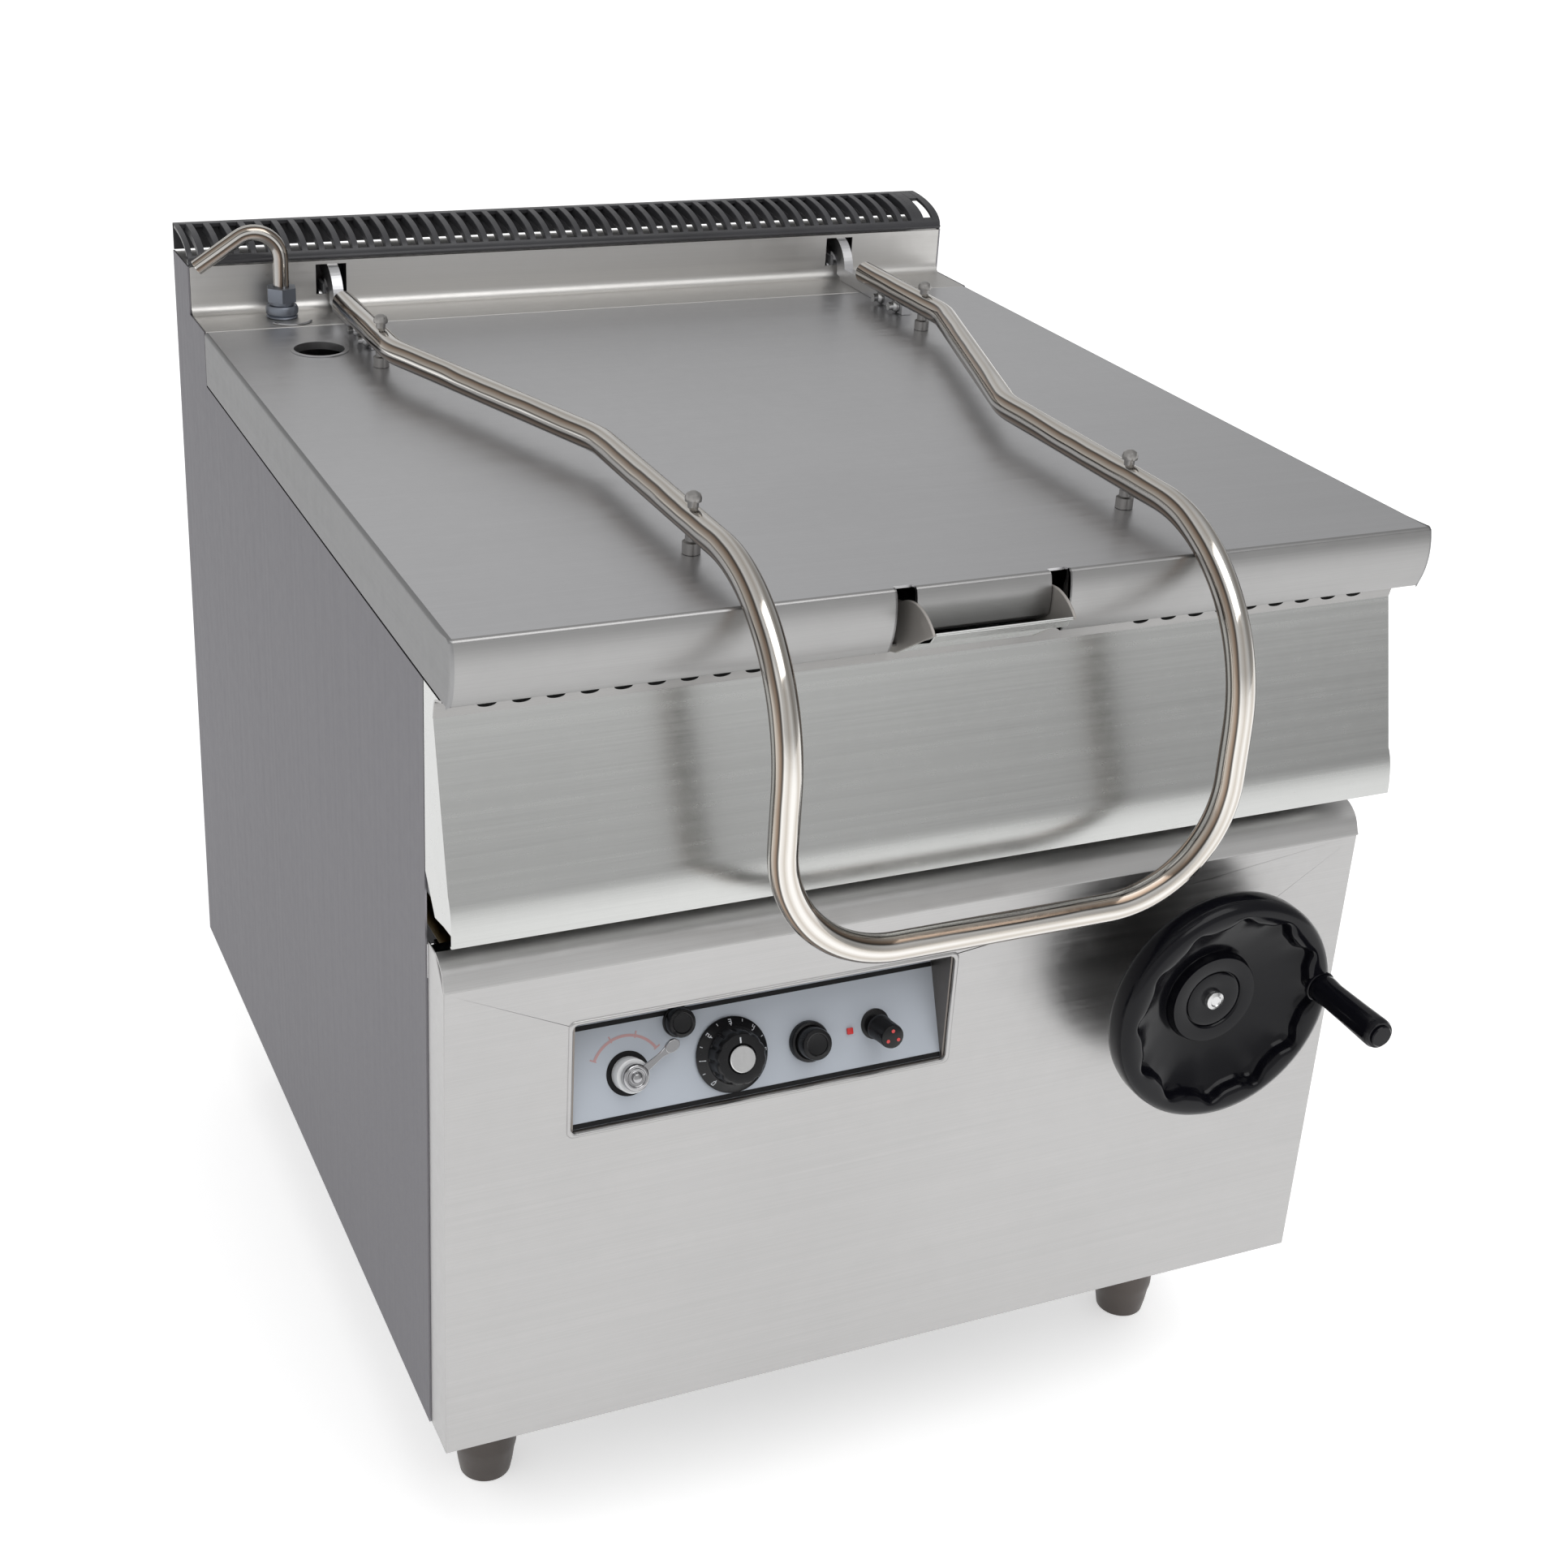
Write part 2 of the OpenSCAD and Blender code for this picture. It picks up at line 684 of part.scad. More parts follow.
// Trunnions: the pan's side arms carry short shafts that turn in the frame's bearings
module trunnion_bearing(side) color("gray") place() mirror([side < 0 ? 1 : 0, 0, 0]) difference() {
    union() {
        bar_x([bearing_x, tilt_y, tilt_z], bearing_r, bearing_w);
        block([bearing_x, tilt_y, tilt_z - bearing_arm / 2],
            [bearing_x + bearing_w, side_front + tube_w, tilt_z + bearing_arm / 2]);
    }
    bar_x([bearing_x - cut, tilt_y, tilt_z], trunnion_r + run, bearing_w + 2 * cut);
}
module left_trunnion_bearing() trunnion_bearing(-1);
module right_trunnion_bearing() trunnion_bearing(1);
module trunnion(side) color("silver") place() mirror([side < 0 ? 1 : 0, 0, 0]) {
    bar_x([arm_plate_x + plate_t, tilt_y, tilt_z], trunnion_r,
        half_w - sheet - 2 * seat - arm_plate_x - plate_t);
    along_x(arm_plate_x, arm_plate_x + plate_t) hull() {
        translate([tilt_y, tilt_z]) circle(bearing_r, $fn = 32);
        translate([pan_front + arm_run, pan_top - arm_fall]) circle(trunnion_r, $fn = 32);
        translate([pan_front + arm_run, tilt_z - pan_t]) circle(trunnion_r, $fn = 32);
    }
}
module left_trunnion() trunnion(-1);
module right_trunnion() trunnion(1);

// Pan
module rounded_box(w, l, r, h) linear_extrude(h) union() {
    square([w - 2 * r, l], center = true);
    square([w, l - 2 * r], center = true);
    for (x = [-1, 1], y = [-1, 1]) translate([x * (w / 2 - r), y * (l / 2 - r)]) circle(r);
}
module pan_tub() color([0.74, 0.74, 0.73]) place() translate([0, pan_front + pan_t + pan_l / 2, pan_bottom]) {
    difference() {
        rounded_box(pan_w + 2 * pan_t, pan_l + 2 * pan_t, pan_r + pan_t, pan_h);
        translate([0, 0, pan_floor]) rounded_box(pan_w, pan_l, pan_r, pan_h);
    }
    translate([0, 0, pan_h - pan_t]) difference() {
        rounded_box(pan_w + 2 * pan_t + 2 * rim_w, pan_l + 2 * pan_t, pan_r + pan_t + rim_w, pan_t);
        translate([0, 0, -cut]) rounded_box(pan_w + pan_t, pan_l + pan_t, pan_r, pan_t + 2 * cut);
    }
}

// Apron: concave face under the lid's front, leaning out to a drip lip
function apron_point(p, shift) = [
    -apron_front + p[0] * apron_size[0] + shift[0], skirt_z - p[1] * apron_size[1] + shift[1]
];
module apron() color([0.75, 0.75, 0.75]) place() difference() {
    union() {
        along_x(-half_w, half_w) polygon(concat(
            [for (p = apron_shares) apron_point(p, [0, -apron_gap])],
            [for (i = [len(apron_shares) - 1 : -1 : 0])
                apron_point(apron_shares[i], [apron_t, apron_t / 3 - apron_gap])]
        ));
        along_x(-half_w + sheet, half_w - sheet) polygon([
            [panel_set - lid_t, skirt_z - apron_gap - sheet], [panel_set, skirt_z - apron_gap],
            [pan_front - seat, pan_top], [pan_front - seat, pan_top - sheet]
        ]);
        for (x = [-half_w, half_w - sheet]) along_x(x, x + sheet) polygon(concat(
            [for (p = apron_shares) apron_point(p, [seat, -apron_gap])],
            [[apron_rear, top_h - apron_drop], [side_front - sheet, tilt_z],
            [side_front - sheet, skirt_z - sheet]]
        ));
    }
    for (i = [-vent_count : vent_count]) translate([i * vent_pitch, 0, 0]) block(
        [-vent_l / 2, apron_rear - vent_in, skirt_z - vent_low],
        [vent_l / 2, apron_rear + cut, skirt_z - vent_low + vent_w]);
}

// Spout: an open trough over the apron, with a rounded cheek at each side
module pouring_spout() color([0.76, 0.76, 0.76]) place() {
    along_x(-spout_w / 2, spout_w / 2) polygon([
        [pan_front + pan_t + seat, pan_top + seat + spout_t], [panel_set, top_h - spout_low],
        [-spout_out + spout_t, top_h - spout_low + spout_t * 2], [-spout_out, top_h - spout_lip],
        [-spout_out - spout_t, top_h - spout_lip], [-spout_out, top_h - spout_low + spout_t],
        [panel_set, top_h - spout_low - spout_t], [pan_front + pan_t + seat, pan_top + seat]
    ]);
    for (x = [-spout_w / 2 - spout_t, spout_w / 2]) along_x(x, x + spout_t) polygon(concat(
        arc([cheek_r - spout_out - spout_t, top_h - spout_low], cheek_r, 180, cheek_angle),
        [[panel_set + lid_t, top_h - spout_low + cheek_top], [pan_front + pan_t + seat, pan_top + spout_t],
        [pan_front + pan_t + seat, pan_top + seat], [panel_set, top_h - spout_low - spout_t],
        [-spout_out - spout_t, top_h - spout_low]]
    ));
}

// Lug under the pan that the screw's link pulls on
module tilt_lug() color("gray") place() difference() {
    union() for (s = [-1, 1]) {
        x = wheel_x + s * (link_t / 2 + link_gap) - (s < 0 ? plate_t : 0);
        along_x(x, x + plate_t) polygon([
            [pan_front + pan_r, pan_bottom - seat], [pan_front + lug_r, pan_bottom - seat],
            [lug_y + link_w / 2, lug_z - link_w / 2], [lug_y - link_w / 2, lug_z - link_w / 2],
            [lug_y - link_w / 2, lug_z + link_w / 2]
        ]);
    }
    bar_x([wheel_x - link_w, lug_y, lug_z], pin_r, 2 * link_w);
}

// Link from the screw's nut to the lug
module tilt_link() color("silver") place() difference() {
    along_x(wheel_x - link_t / 2, wheel_x + link_t / 2) translate([nut_y, pivot_z]) rotate(180 - link_rise) {
        translate([0, -link_w / 2]) square([link_l, link_w]);
        circle(link_w / 2);
    }
    bar_x([wheel_x - link_t, nut_y, pivot_z], pin_r + run, 2 * link_t);
}

// Screw, its nut and bearings
module screw_nut() color("goldenrod") place() {
    difference() {
        union() {
            block([wheel_x - nut_w / 2, nut_y - nut_l / 2, wheel_z - nut_w / 2],
                [wheel_x + nut_w / 2, nut_y + nut_l / 2, wheel_z + nut_w / 2]);
            for (s = [-1, 1]) {
                x = wheel_x + s * (link_t / 2 + link_gap) - (s < 0 ? plate_t : 0);
                along_x(x, x + plate_t) {
                    translate([nut_y, pivot_z]) circle(link_w / 2);
                    translate([nut_y - link_w / 2, wheel_z]) square([link_w, pivot_z - wheel_z]);
                }
            }
        }
        bar_y([wheel_x, nut_y - nut_l, wheel_z], screw_r + run, 2 * nut_l);
        block([wheel_x - link_t / 2 - link_gap, nut_y - nut_l, pivot_z - link_w / 2 - link_gap / 2],
            [wheel_x + link_t / 2 + link_gap, nut_y + nut_l, pivot_z + link_w]);
    }
    bar_x([wheel_x - link_t / 2 - link_gap - plate_t, nut_y, pivot_z], pin_r,
        link_t + 2 * link_gap + 2 * plate_t);
}
module screw_shaft() color("silver") place() {
    bar_y([wheel_x, hub_rear - wheel_plug, wheel_z], screw_r, screw_end + thrust_t - hub_rear + wheel_plug);
}
module front_screw_bearing() color("gray") place() difference() {
    block([wheel_x - thrust_r, panel_set + sheet + seat, wheel_z - thrust_r],
        [wheel_x + thrust_r, panel_set + sheet + seat + thrust_t, wheel_z + thrust_r]);
    bar_y([wheel_x, panel_set, wheel_z], screw_r + run, 2 * thrust_t);
}
module rear_screw_bearing() color("gray") place() difference() {
    block([tray_right + seat, screw_end, wheel_z - thrust_r],
        [wheel_x + thrust_r, screw_end + thrust_t, tray_low - seat]);
    bar_y([wheel_x, screw_end - cut, wheel_z], screw_r + run, thrust_t + 2 * cut);
}

// Handwheel: a dished wheel with finger scallops inside its rim
module handwheel() color([0.05, 0.05, 0.05]) place()
    translate([wheel_x, 0, wheel_z]) rotate([-90, 0, 0]) difference() {
        rotate_extrude() {
            translate([wheel_r - rim_r, rim_y]) circle(rim_r);
            polygon([
                [0, hub_front], [wheel_hub_r + plate_t, hub_front], [wheel_r - rim_r, rim_y - web_t / 2],
                [wheel_r - rim_r, rim_y + web_t], [wheel_hub_r + web_t, hub_rear - 2 * web_t],
                [wheel_hub_r, hub_rear], [0, hub_rear]
            ]);
        }
        for (i = [0 : scallops - 1]) rotate(360 * (i + 0.5) / scallops)
            translate([wheel_r - rim_r - scallop_in, 0, rim_y - rim_r - cut])
                cylinder(r = scallop_r, h = scallop_h);
        translate([0, 0, hub_rear - wheel_plug - seat]) cylinder(r = screw_r + run, h = wheel_plug + cut);
        rotate(-grip_angle) translate([grip_at_r, 0, rim_y - rim_r - cut])
            cylinder(r = grip_core_r + run, h = rim_r + cut);
    }

module wheel_cap() color([0.1, 0.1, 0.1]) place()
    bar_y([wheel_x, hub_front - seat - cap_h, wheel_z], wheel_hub_r - cap_h, cap_h);

// The grip turns on a bolt that stands out of the rim
module grip_bolt() color("silver") place() {
    bar_y([grip_x, -wheel_reach, grip_z], grip_core_r, grip_l + grip_cap + rim_r);
    bar_y([grip_x, -wheel_reach, grip_z], grip_r - grip_cap, grip_cap);
}
module grip() color([0.05, 0.05, 0.05]) place() translate([grip_x, grip_base - grip_l, grip_z])
    rotate([-90, 0, 0]) difference() {
        rotate_extrude() polygon([
            [0, 0], [grip_r - cap_h, 0], [grip_r, cap_h * 3], [grip_r, grip_l * grip_shares[0]],
            [grip_r - cap_h, grip_l * grip_shares[1]], [grip_r - cap_h / 2, grip_l], [0, grip_l]
        ]);
        translate([0, 0, -cut]) cylinder(r = grip_core_r + run, h = grip_l + 2 * cut);
    }

// Controls
module valve_boss() color("white") place() on_plate(boss_at) {
    bar_z([0, 0, seat], boss_r, boss_h);
    bar_z([0, 0, -stem_l - sheet], stem_r, stem_l + sheet + seat);
}
module valve_lever() color("silver") place() on_plate(boss_at) rotate(lever_angle) {
    bar_z([0, 0, boss_h + 2 * seat], lever_r, lever_h);
    block([0, -lever_w / 2, boss_h + 2 * seat], [lever_l, lever_w / 2, boss_h + 2 * seat + lever_w / 2]);
}
module reset_button() color([0.1, 0.1, 0.1]) place() on_plate(button_at) {
    bar_z([0, 0, button_travel + seat], button_r, button_h);
    bar_z([0, 0, -stem_l], stem_r, stem_l + button_travel + 2 * seat);
}
module thermostat_dial() color([0.08, 0.08, 0.08]) place() on_plate(dial_at) {
    bar_z([0, 0, seat], dial_r, dial_skirt_h);
    bar_z([0, 0, seat], knob_r, dial_skirt_h + knob_h);
    bar_z([0, 0, -stem_l], stem_r, stem_l + 2 * seat);
}
module dial_cap() color("silver") place() on_plate(dial_at)
    bar_z([0, 0, dial_skirt_h + knob_h + 2 * seat], cap_r, cap_h);
module igniter_button() color([0.08, 0.08, 0.08]) place() on_plate(igniter_at) {
    bar_z([0, 0, igniter_travel + seat], igniter_cap_r, igniter_h);
    bar_z([0, 0, -stem_l + igniter_travel], stem_r, stem_l + 2 * seat);
}
module indicator_lamp() color("red") place() on_plate(lamp_at)
    block([-lamp_w / 2, -lamp_w / 2, seat], [lamp_w / 2, lamp_w / 2, lamp_h]);
module pilot_spindle() color("silver") place() on_plate(spindle_at) {
    bar_z([0, 0, spindle_travel + seat], spindle_r, spindle_h - spindle_travel);
    bar_z([0, 0, -stem_l], stem_r, stem_l + spindle_travel + 2 * seat);
}

// Lid
module lid_profile(drop) polygon(concat(
    [[lid_rear, top_h]], arc(lid_nose, lid_nose_r, 90, 180), [[0, top_h - drop], [lid_t, top_h - drop]],
    arc(lid_nose, lid_nose_r - lid_t, 180, 90), [[lid_rear, top_h - lid_t]]
));
module lid_shell() color([0.62, 0.62, 0.64]) place() difference() {
    union() {
        difference() {
            along_x(-half_w, half_w) lid_profile(lid_skirt);
            block([-spout_gap_w / 2, -cut, skirt_z - cut], [spout_gap_w / 2, lid_nose_r, top_h + cut]);
        }
        along_x(-flap_w / 2, flap_w / 2) lid_profile(flap_drop);
        for (x = [-half_w, half_w - lid_t]) along_x(x, x + lid_t) polygon(concat(
            [[lid_rear, skirt_z], [lid_rear, top_h - seat]],
            arc(lid_nose, lid_nose_r - seat, 90, 180), [[seat, skirt_z]]
        ));
    }
    bar_z([fill_x, fill_y, top_h - lid_t - cut], fill_d / 2 + ring_t + run, lid_t + 2 * cut);
    for (s = [-1, 1], at = stud_ats)
        bar_z([s * at[0], at[1], top_h - lid_t - cut], stem_r + run, lid_t + 2 * cut);
}
module fill_ring() color("silver") place() difference() {
    union() {
        bar_z([fill_x, fill_y, top_h - lid_t - ring_t], fill_d / 2 + ring_t, lid_t + ring_t + seat);
        bar_z([fill_x, fill_y, top_h + seat], fill_d / 2 + 2 * ring_t, ring_t / 2);
    }
    bar_z([fill_x, fill_y, top_h - lid_t - 2 * ring_t], fill_d / 2, 4 * ring_t);
}

// Half of the bow: along the lid, down in front of it, and across towards the middle
bow_half = concat(
    [[bow_rear_x, bow_rear_y, bow_z], [bow_rear_x, jog_rear_y, bow_z], [bow_front_x, jog_front_y, bow_z]],
    [for (q = arc([bend_y, bow_z - bend_r], bend_r, 90, 180, 10)) [bow_front_x, q[0], q[1]]],
    [for (q = arc([bow_front_x - corner_r, top_h - bow_drop + corner_r], corner_r, 0, -90, 10))
        [q[0], -bow_reach, q[1]]]
);
bow_path = concat(
    bow_half, [for (i = [len(bow_half) - 1 : -1 : 0]) let (p = bow_half[i]) [-p[0], p[1], p[2]]]
);
module bow_handle() color([0.7, 0.69, 0.67]) place() tube_path(bow_path, bow_r, [0, 0, 1]);
module handle_studs() color("silver") place() for (s = [-1, 1], at = stud_ats)
    translate([s * at[0], at[1], 0]) {
        bar_z([0, 0, top_h + seat], stud_r, bow_rise - bow_r - 2 * seat);
        bar_z([0, 0, top_h - lid_t - stud_r], stem_r, lid_t + stud_r + 2 * seat);
        translate([0, 0, bow_z + bow_r + seat]) intersection() {
            sphere(dome_r);
            cylinder(r = dome_r, h = dome_r);
        }
    }

// Hinge arm: a flat bar under the tube's end with a hook that reaches through the splash
module hinge_arm(side) color([0.72, 0.72, 0.71]) place()
    translate([side * bow_rear_x + arm_off, hinge_y, hinge_z]) difference() {
        along_x(0, arm_w) difference() {
            union() {
                intersection() {
                    sector(hook_in_r, hook_out_r, hook_end_angle, hook_start_angle);
                    translate([-hook_out_r, -hinge_up + seat]) square([2 * hook_out_r, 2 * hook_out_r]);
                }
                translate([-arm_l, -hinge_up + seat]) square([arm_l - hook_out_r + hub_r, arm_h]);
                sector(0, hook_in_r + seat, hook_end_angle, hook_root_angle);
                circle(hub_r);
            }
            circle(hinge_r + run);
        }
        for (y = bolt_ys) bar_x([-cut, y - hinge_y, bolt_rise - hinge_up], bolt_r + run, arm_w + 2 * cut);
    }
module left_hinge_arm() hinge_arm(-1);
module right_hinge_arm() hinge_arm(1);

module hinge_bolts() color("silver") place() for (s = [-1, 1], y = bolt_ys)
    translate([s * bow_rear_x + arm_off, y, top_h + bolt_rise]) {
        bar_x([-arm_w, 0, 0], bolt_r, 2 * arm_w + bolt_head_h);
        bar_x([arm_w + seat, 0, 0], bolt_head_r, bolt_head_h);
        translate([-seat, 0, 0]) intersection() {
            sphere(bolt_head_r);
            bar_x([-bolt_head_r, 0, 0], bolt_head_r, bolt_head_r);
        }
    }

// Hinge bracket: two ears behind the splash that hold the pin
module hinge_bracket(side) color("gray") place() translate([side * bow_rear_x + arm_off, hinge_y, hinge_z])
    difference() {
        for (x = [-ear_gap - ear_w, arm_w + ear_gap]) along_x(x, x + ear_w) polygon([
            [-hinge_back + sheet + seat, -ear_drop], [ear_d - hinge_back, -ear_drop],
            [ear_d - hinge_back + hub_r, 0], [ear_d - hinge_back, ear_head],
            [-hinge_back + sheet + seat, ear_head]
        ]);
        bar_x([-arm_w, 0, 0], hinge_r + run, 3 * arm_w);
    }
module left_hinge_bracket() hinge_bracket(-1);
module right_hinge_bracket() hinge_bracket(1);
module hinge_pin(side) color("silver") place() translate([side * bow_rear_x + arm_off, hinge_y, hinge_z]) {
    bar_x([-ear_gap - ear_w - seat, 0, 0], hinge_r, arm_w + 2 * ear_gap + 2 * ear_w + ear_w);
    bar_x([-ear_gap - 2 * ear_w - seat, 0, 0], hub_r, ear_w);
}
module left_hinge_pin() hinge_pin(-1);
module right_hinge_pin() hinge_pin(1);

// Tap on the rear strip, with a swivelling spout
module tap_body() color([0.6, 0.6, 0.64]) place() translate([tap_x, tap_y, top_h + seat]) difference() {
    union() {
        cylinder(r = tap_foot_r, h = tap_foot_h);
        cylinder(r = tap_hex / sqrt(3), h = tap_body_h, $fn = 6);
        translate([0, 0, -tap_shank_l]) cylinder(r = tap_shank_r, h = tap_shank_l + cut);
    }
    translate([0, 0, tap_body_h - tap_depth]) cylinder(r = tap_r + run, h = tap_depth + cut);
}
tap_path = concat(
    [[0, 0, top_h + tap_body_h - seat]],
    [for (q = arc([tap_bend_r, tap_bend_z], tap_bend_r, tap_start_angle, tap_stop_angle, 12))
        [q[0], 0, q[1]]],
    [[tap_reach, 0, tap_end[1] + tap_fall]]
);
module tap_spout() color([0.62, 0.61, 0.6]) place() translate([tap_x, tap_y, 0]) rotate(tap_turn_angle) {
    bar_z([0, 0, tap_base_z], tap_r, top_h + tap_body_h + 2 * seat - tap_base_z);
    tube_path(tap_path, tap_r - run, [1, 0, 0]);
}
module water_pipe() color("goldenrod") place() {
    pipe_top = top_h + seat - tap_shank_l - seat;
    bar_z([tap_x, tap_y, inlet_z], pipe_r, pipe_top - inlet_z);
    translate([tap_x, tap_y, inlet_z]) sphere(pipe_r);
    bar_y([tap_x, tap_y, inlet_z], pipe_r, rear_y + pipe_out - tap_y);
    pipe_end(tap_x);
}

base_frame();
front_left_foot();
front_right_foot();
rear_left_foot();
rear_right_foot();
left_side_panel();
right_side_panel();
back_panel();
front_panel();
control_plate();
rear_casing();
flue_grille();
flue_duct();
combustion_tray();
burner_tubes();
gas_manifold();
gas_valve();
igniter_body();
pilot_burner();
gas_inlet();
left_trunnion_bearing();
right_trunnion_bearing();
left_hinge_bracket();
right_hinge_bracket();
left_hinge_pin();
right_hinge_pin();
front_screw_bearing();
rear_screw_bearing();
valve_boss();
valve_lever();
reset_button();
thermostat_dial();
dial_cap();
igniter_button();
indicator_lamp();
pilot_spindle();
pan_tub();
apron();
pouring_spout();
left_trunnion();
right_trunnion();
tilt_lug();
lid_shell();
fill_ring();
bow_handle();
handle_studs();
left_hinge_arm();
right_hinge_arm();
hinge_bolts();
handwheel();
wheel_cap();
grip_bolt();
grip();
screw_shaft();
screw_nut();
tilt_link();
tap_body();
tap_spout();
water_pipe();
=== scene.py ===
"""Looks of the tilting bratt pan: brushed steel casing, bent-tube handle, black handwheel and controls.

Shapes are drawn in millimetres from the middle of the lid's front edge: X to the right, Y to the back,
Z up from the lid's top. world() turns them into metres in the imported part's frame.
"""
import json
import math

import bmesh
import bpy
import numpy as np
from mathutils import Matrix, Vector
from mathutils.geometry import tessellate_polygon

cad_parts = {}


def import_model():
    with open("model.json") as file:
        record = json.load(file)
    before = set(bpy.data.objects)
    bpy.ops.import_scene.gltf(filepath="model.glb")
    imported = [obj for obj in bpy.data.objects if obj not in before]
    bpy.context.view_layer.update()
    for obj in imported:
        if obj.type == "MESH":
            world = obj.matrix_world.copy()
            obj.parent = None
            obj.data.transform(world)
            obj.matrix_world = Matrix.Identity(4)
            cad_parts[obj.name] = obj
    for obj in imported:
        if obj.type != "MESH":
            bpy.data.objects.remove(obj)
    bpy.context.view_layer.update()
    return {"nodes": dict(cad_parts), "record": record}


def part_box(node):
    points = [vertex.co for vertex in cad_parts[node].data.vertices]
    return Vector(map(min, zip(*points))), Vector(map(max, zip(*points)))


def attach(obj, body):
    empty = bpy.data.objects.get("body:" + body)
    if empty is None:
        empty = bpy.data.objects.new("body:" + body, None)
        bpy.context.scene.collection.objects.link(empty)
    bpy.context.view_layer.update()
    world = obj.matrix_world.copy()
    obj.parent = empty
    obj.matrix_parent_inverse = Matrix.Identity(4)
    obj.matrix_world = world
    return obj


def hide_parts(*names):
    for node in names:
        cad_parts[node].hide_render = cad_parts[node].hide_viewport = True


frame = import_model()

lid_low, lid_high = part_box("lid_shell")
front_y = lid_low[1]
top_z = lid_high[2]
half_w = 400.0
floor_z = -850.0
sheet_t = 1.5
mm = 0.001


def world(points):
    """Points in millimetres, a thousandth of each added to the place of the lid's front edge and top."""
    return np.asarray(points, float) * mm + np.array([0.0, front_y, top_z])


# Outlines: lists of two-number points
def arc(centre, radius, start, end, steps=12):
    """An arc between two angles in degrees: the centre plus the radius times their cosine and sine."""
    turn = np.radians(np.linspace(start, end, steps + 1))
    return [(centre[0] + radius * c, centre[1] + radius * s) for c, s in zip(np.cos(turn), np.sin(turn))]


def rounded(points, radii, steps=6, closed=False):
    """A polyline whose corners are replaced by arcs that touch both of their sides.

    An arc's centre is on the corner's bisector, at the radius over the sine of half the corner's angle."""
    points = [np.array(p, float) for p in points]
    out = []
    last = len(points) - 1
    for i, (p, radius) in enumerate(zip(points, radii)):
        if radius == 0 or (not closed and i in (0, last)):
            out.append(p)
            continue
        a = points[i - 1] - p
        b = points[(i + 1) % len(points)] - p
        a /= np.linalg.norm(a)
        b /= np.linalg.norm(b)
        half = math.acos(max(-1.0, min(1.0, float(a @ b)))) / 2
        centre = p + (a + b) / np.linalg.norm(a + b) * radius / math.sin(half)
        first = p + a * radius / math.tan(half) - centre
        second = p + b * radius / math.tan(half) - centre
        sweep = math.pi - 2 * half
        for t in np.linspace(0, 1, steps + 1):
            spoke = math.sin((1 - t) * sweep) * first + math.sin(t * sweep) * second
            out.append(centre + spoke / math.sin(sweep))
    return np.array(out)


def thick(line, t):
    """A closed outline from a polyline and its copy set off to the left by t, mitred at the corners.

    A mitre is the sum of both sides' normals over one plus the product of the two."""
    line = np.array(line, float)
    step = np.diff(line, axis=0)
    step /= np.linalg.norm(step, axis=1)[:, None]
    normal = np.stack([-step[:, 1], step[:, 0]], axis=1)
    before = np.vstack([normal[:1], normal])
    after = np.vstack([normal, normal[-1:]])
    mitre = before + after
    mitre /= (1 + (before * after).sum(axis=1))[:, None]
    return np.vstack([line, (line + mitre * t)[::-1]])


def circle(centre, radius, sides=48):
    """Points of a full circle."""
    return arc(centre, radius, 0, 360 - 360 / sides, sides - 1)


def box_loop(low, high, radius=0.0):
    """A rectangle between two corners, with rounded corners."""
    corners = [(low[0], low[1]), (high[0], low[1]), (high[0], high[1]), (low[0], high[1])]
    return rounded(corners, [radius] * 4, 5, True) if radius else np.array(corners, float)


# Ways to place a two-number point in space
def plane_x(x):
    """Y and Z at one X."""
    return lambda p: (x, p[0], p[1])


def plane_y(y):
    """X and Z at one Y."""
    return lambda p: (p[0], y, p[1])


def plane_z(z):
    """X and Y at one Z."""
    return lambda p: (p[0], p[1], z)


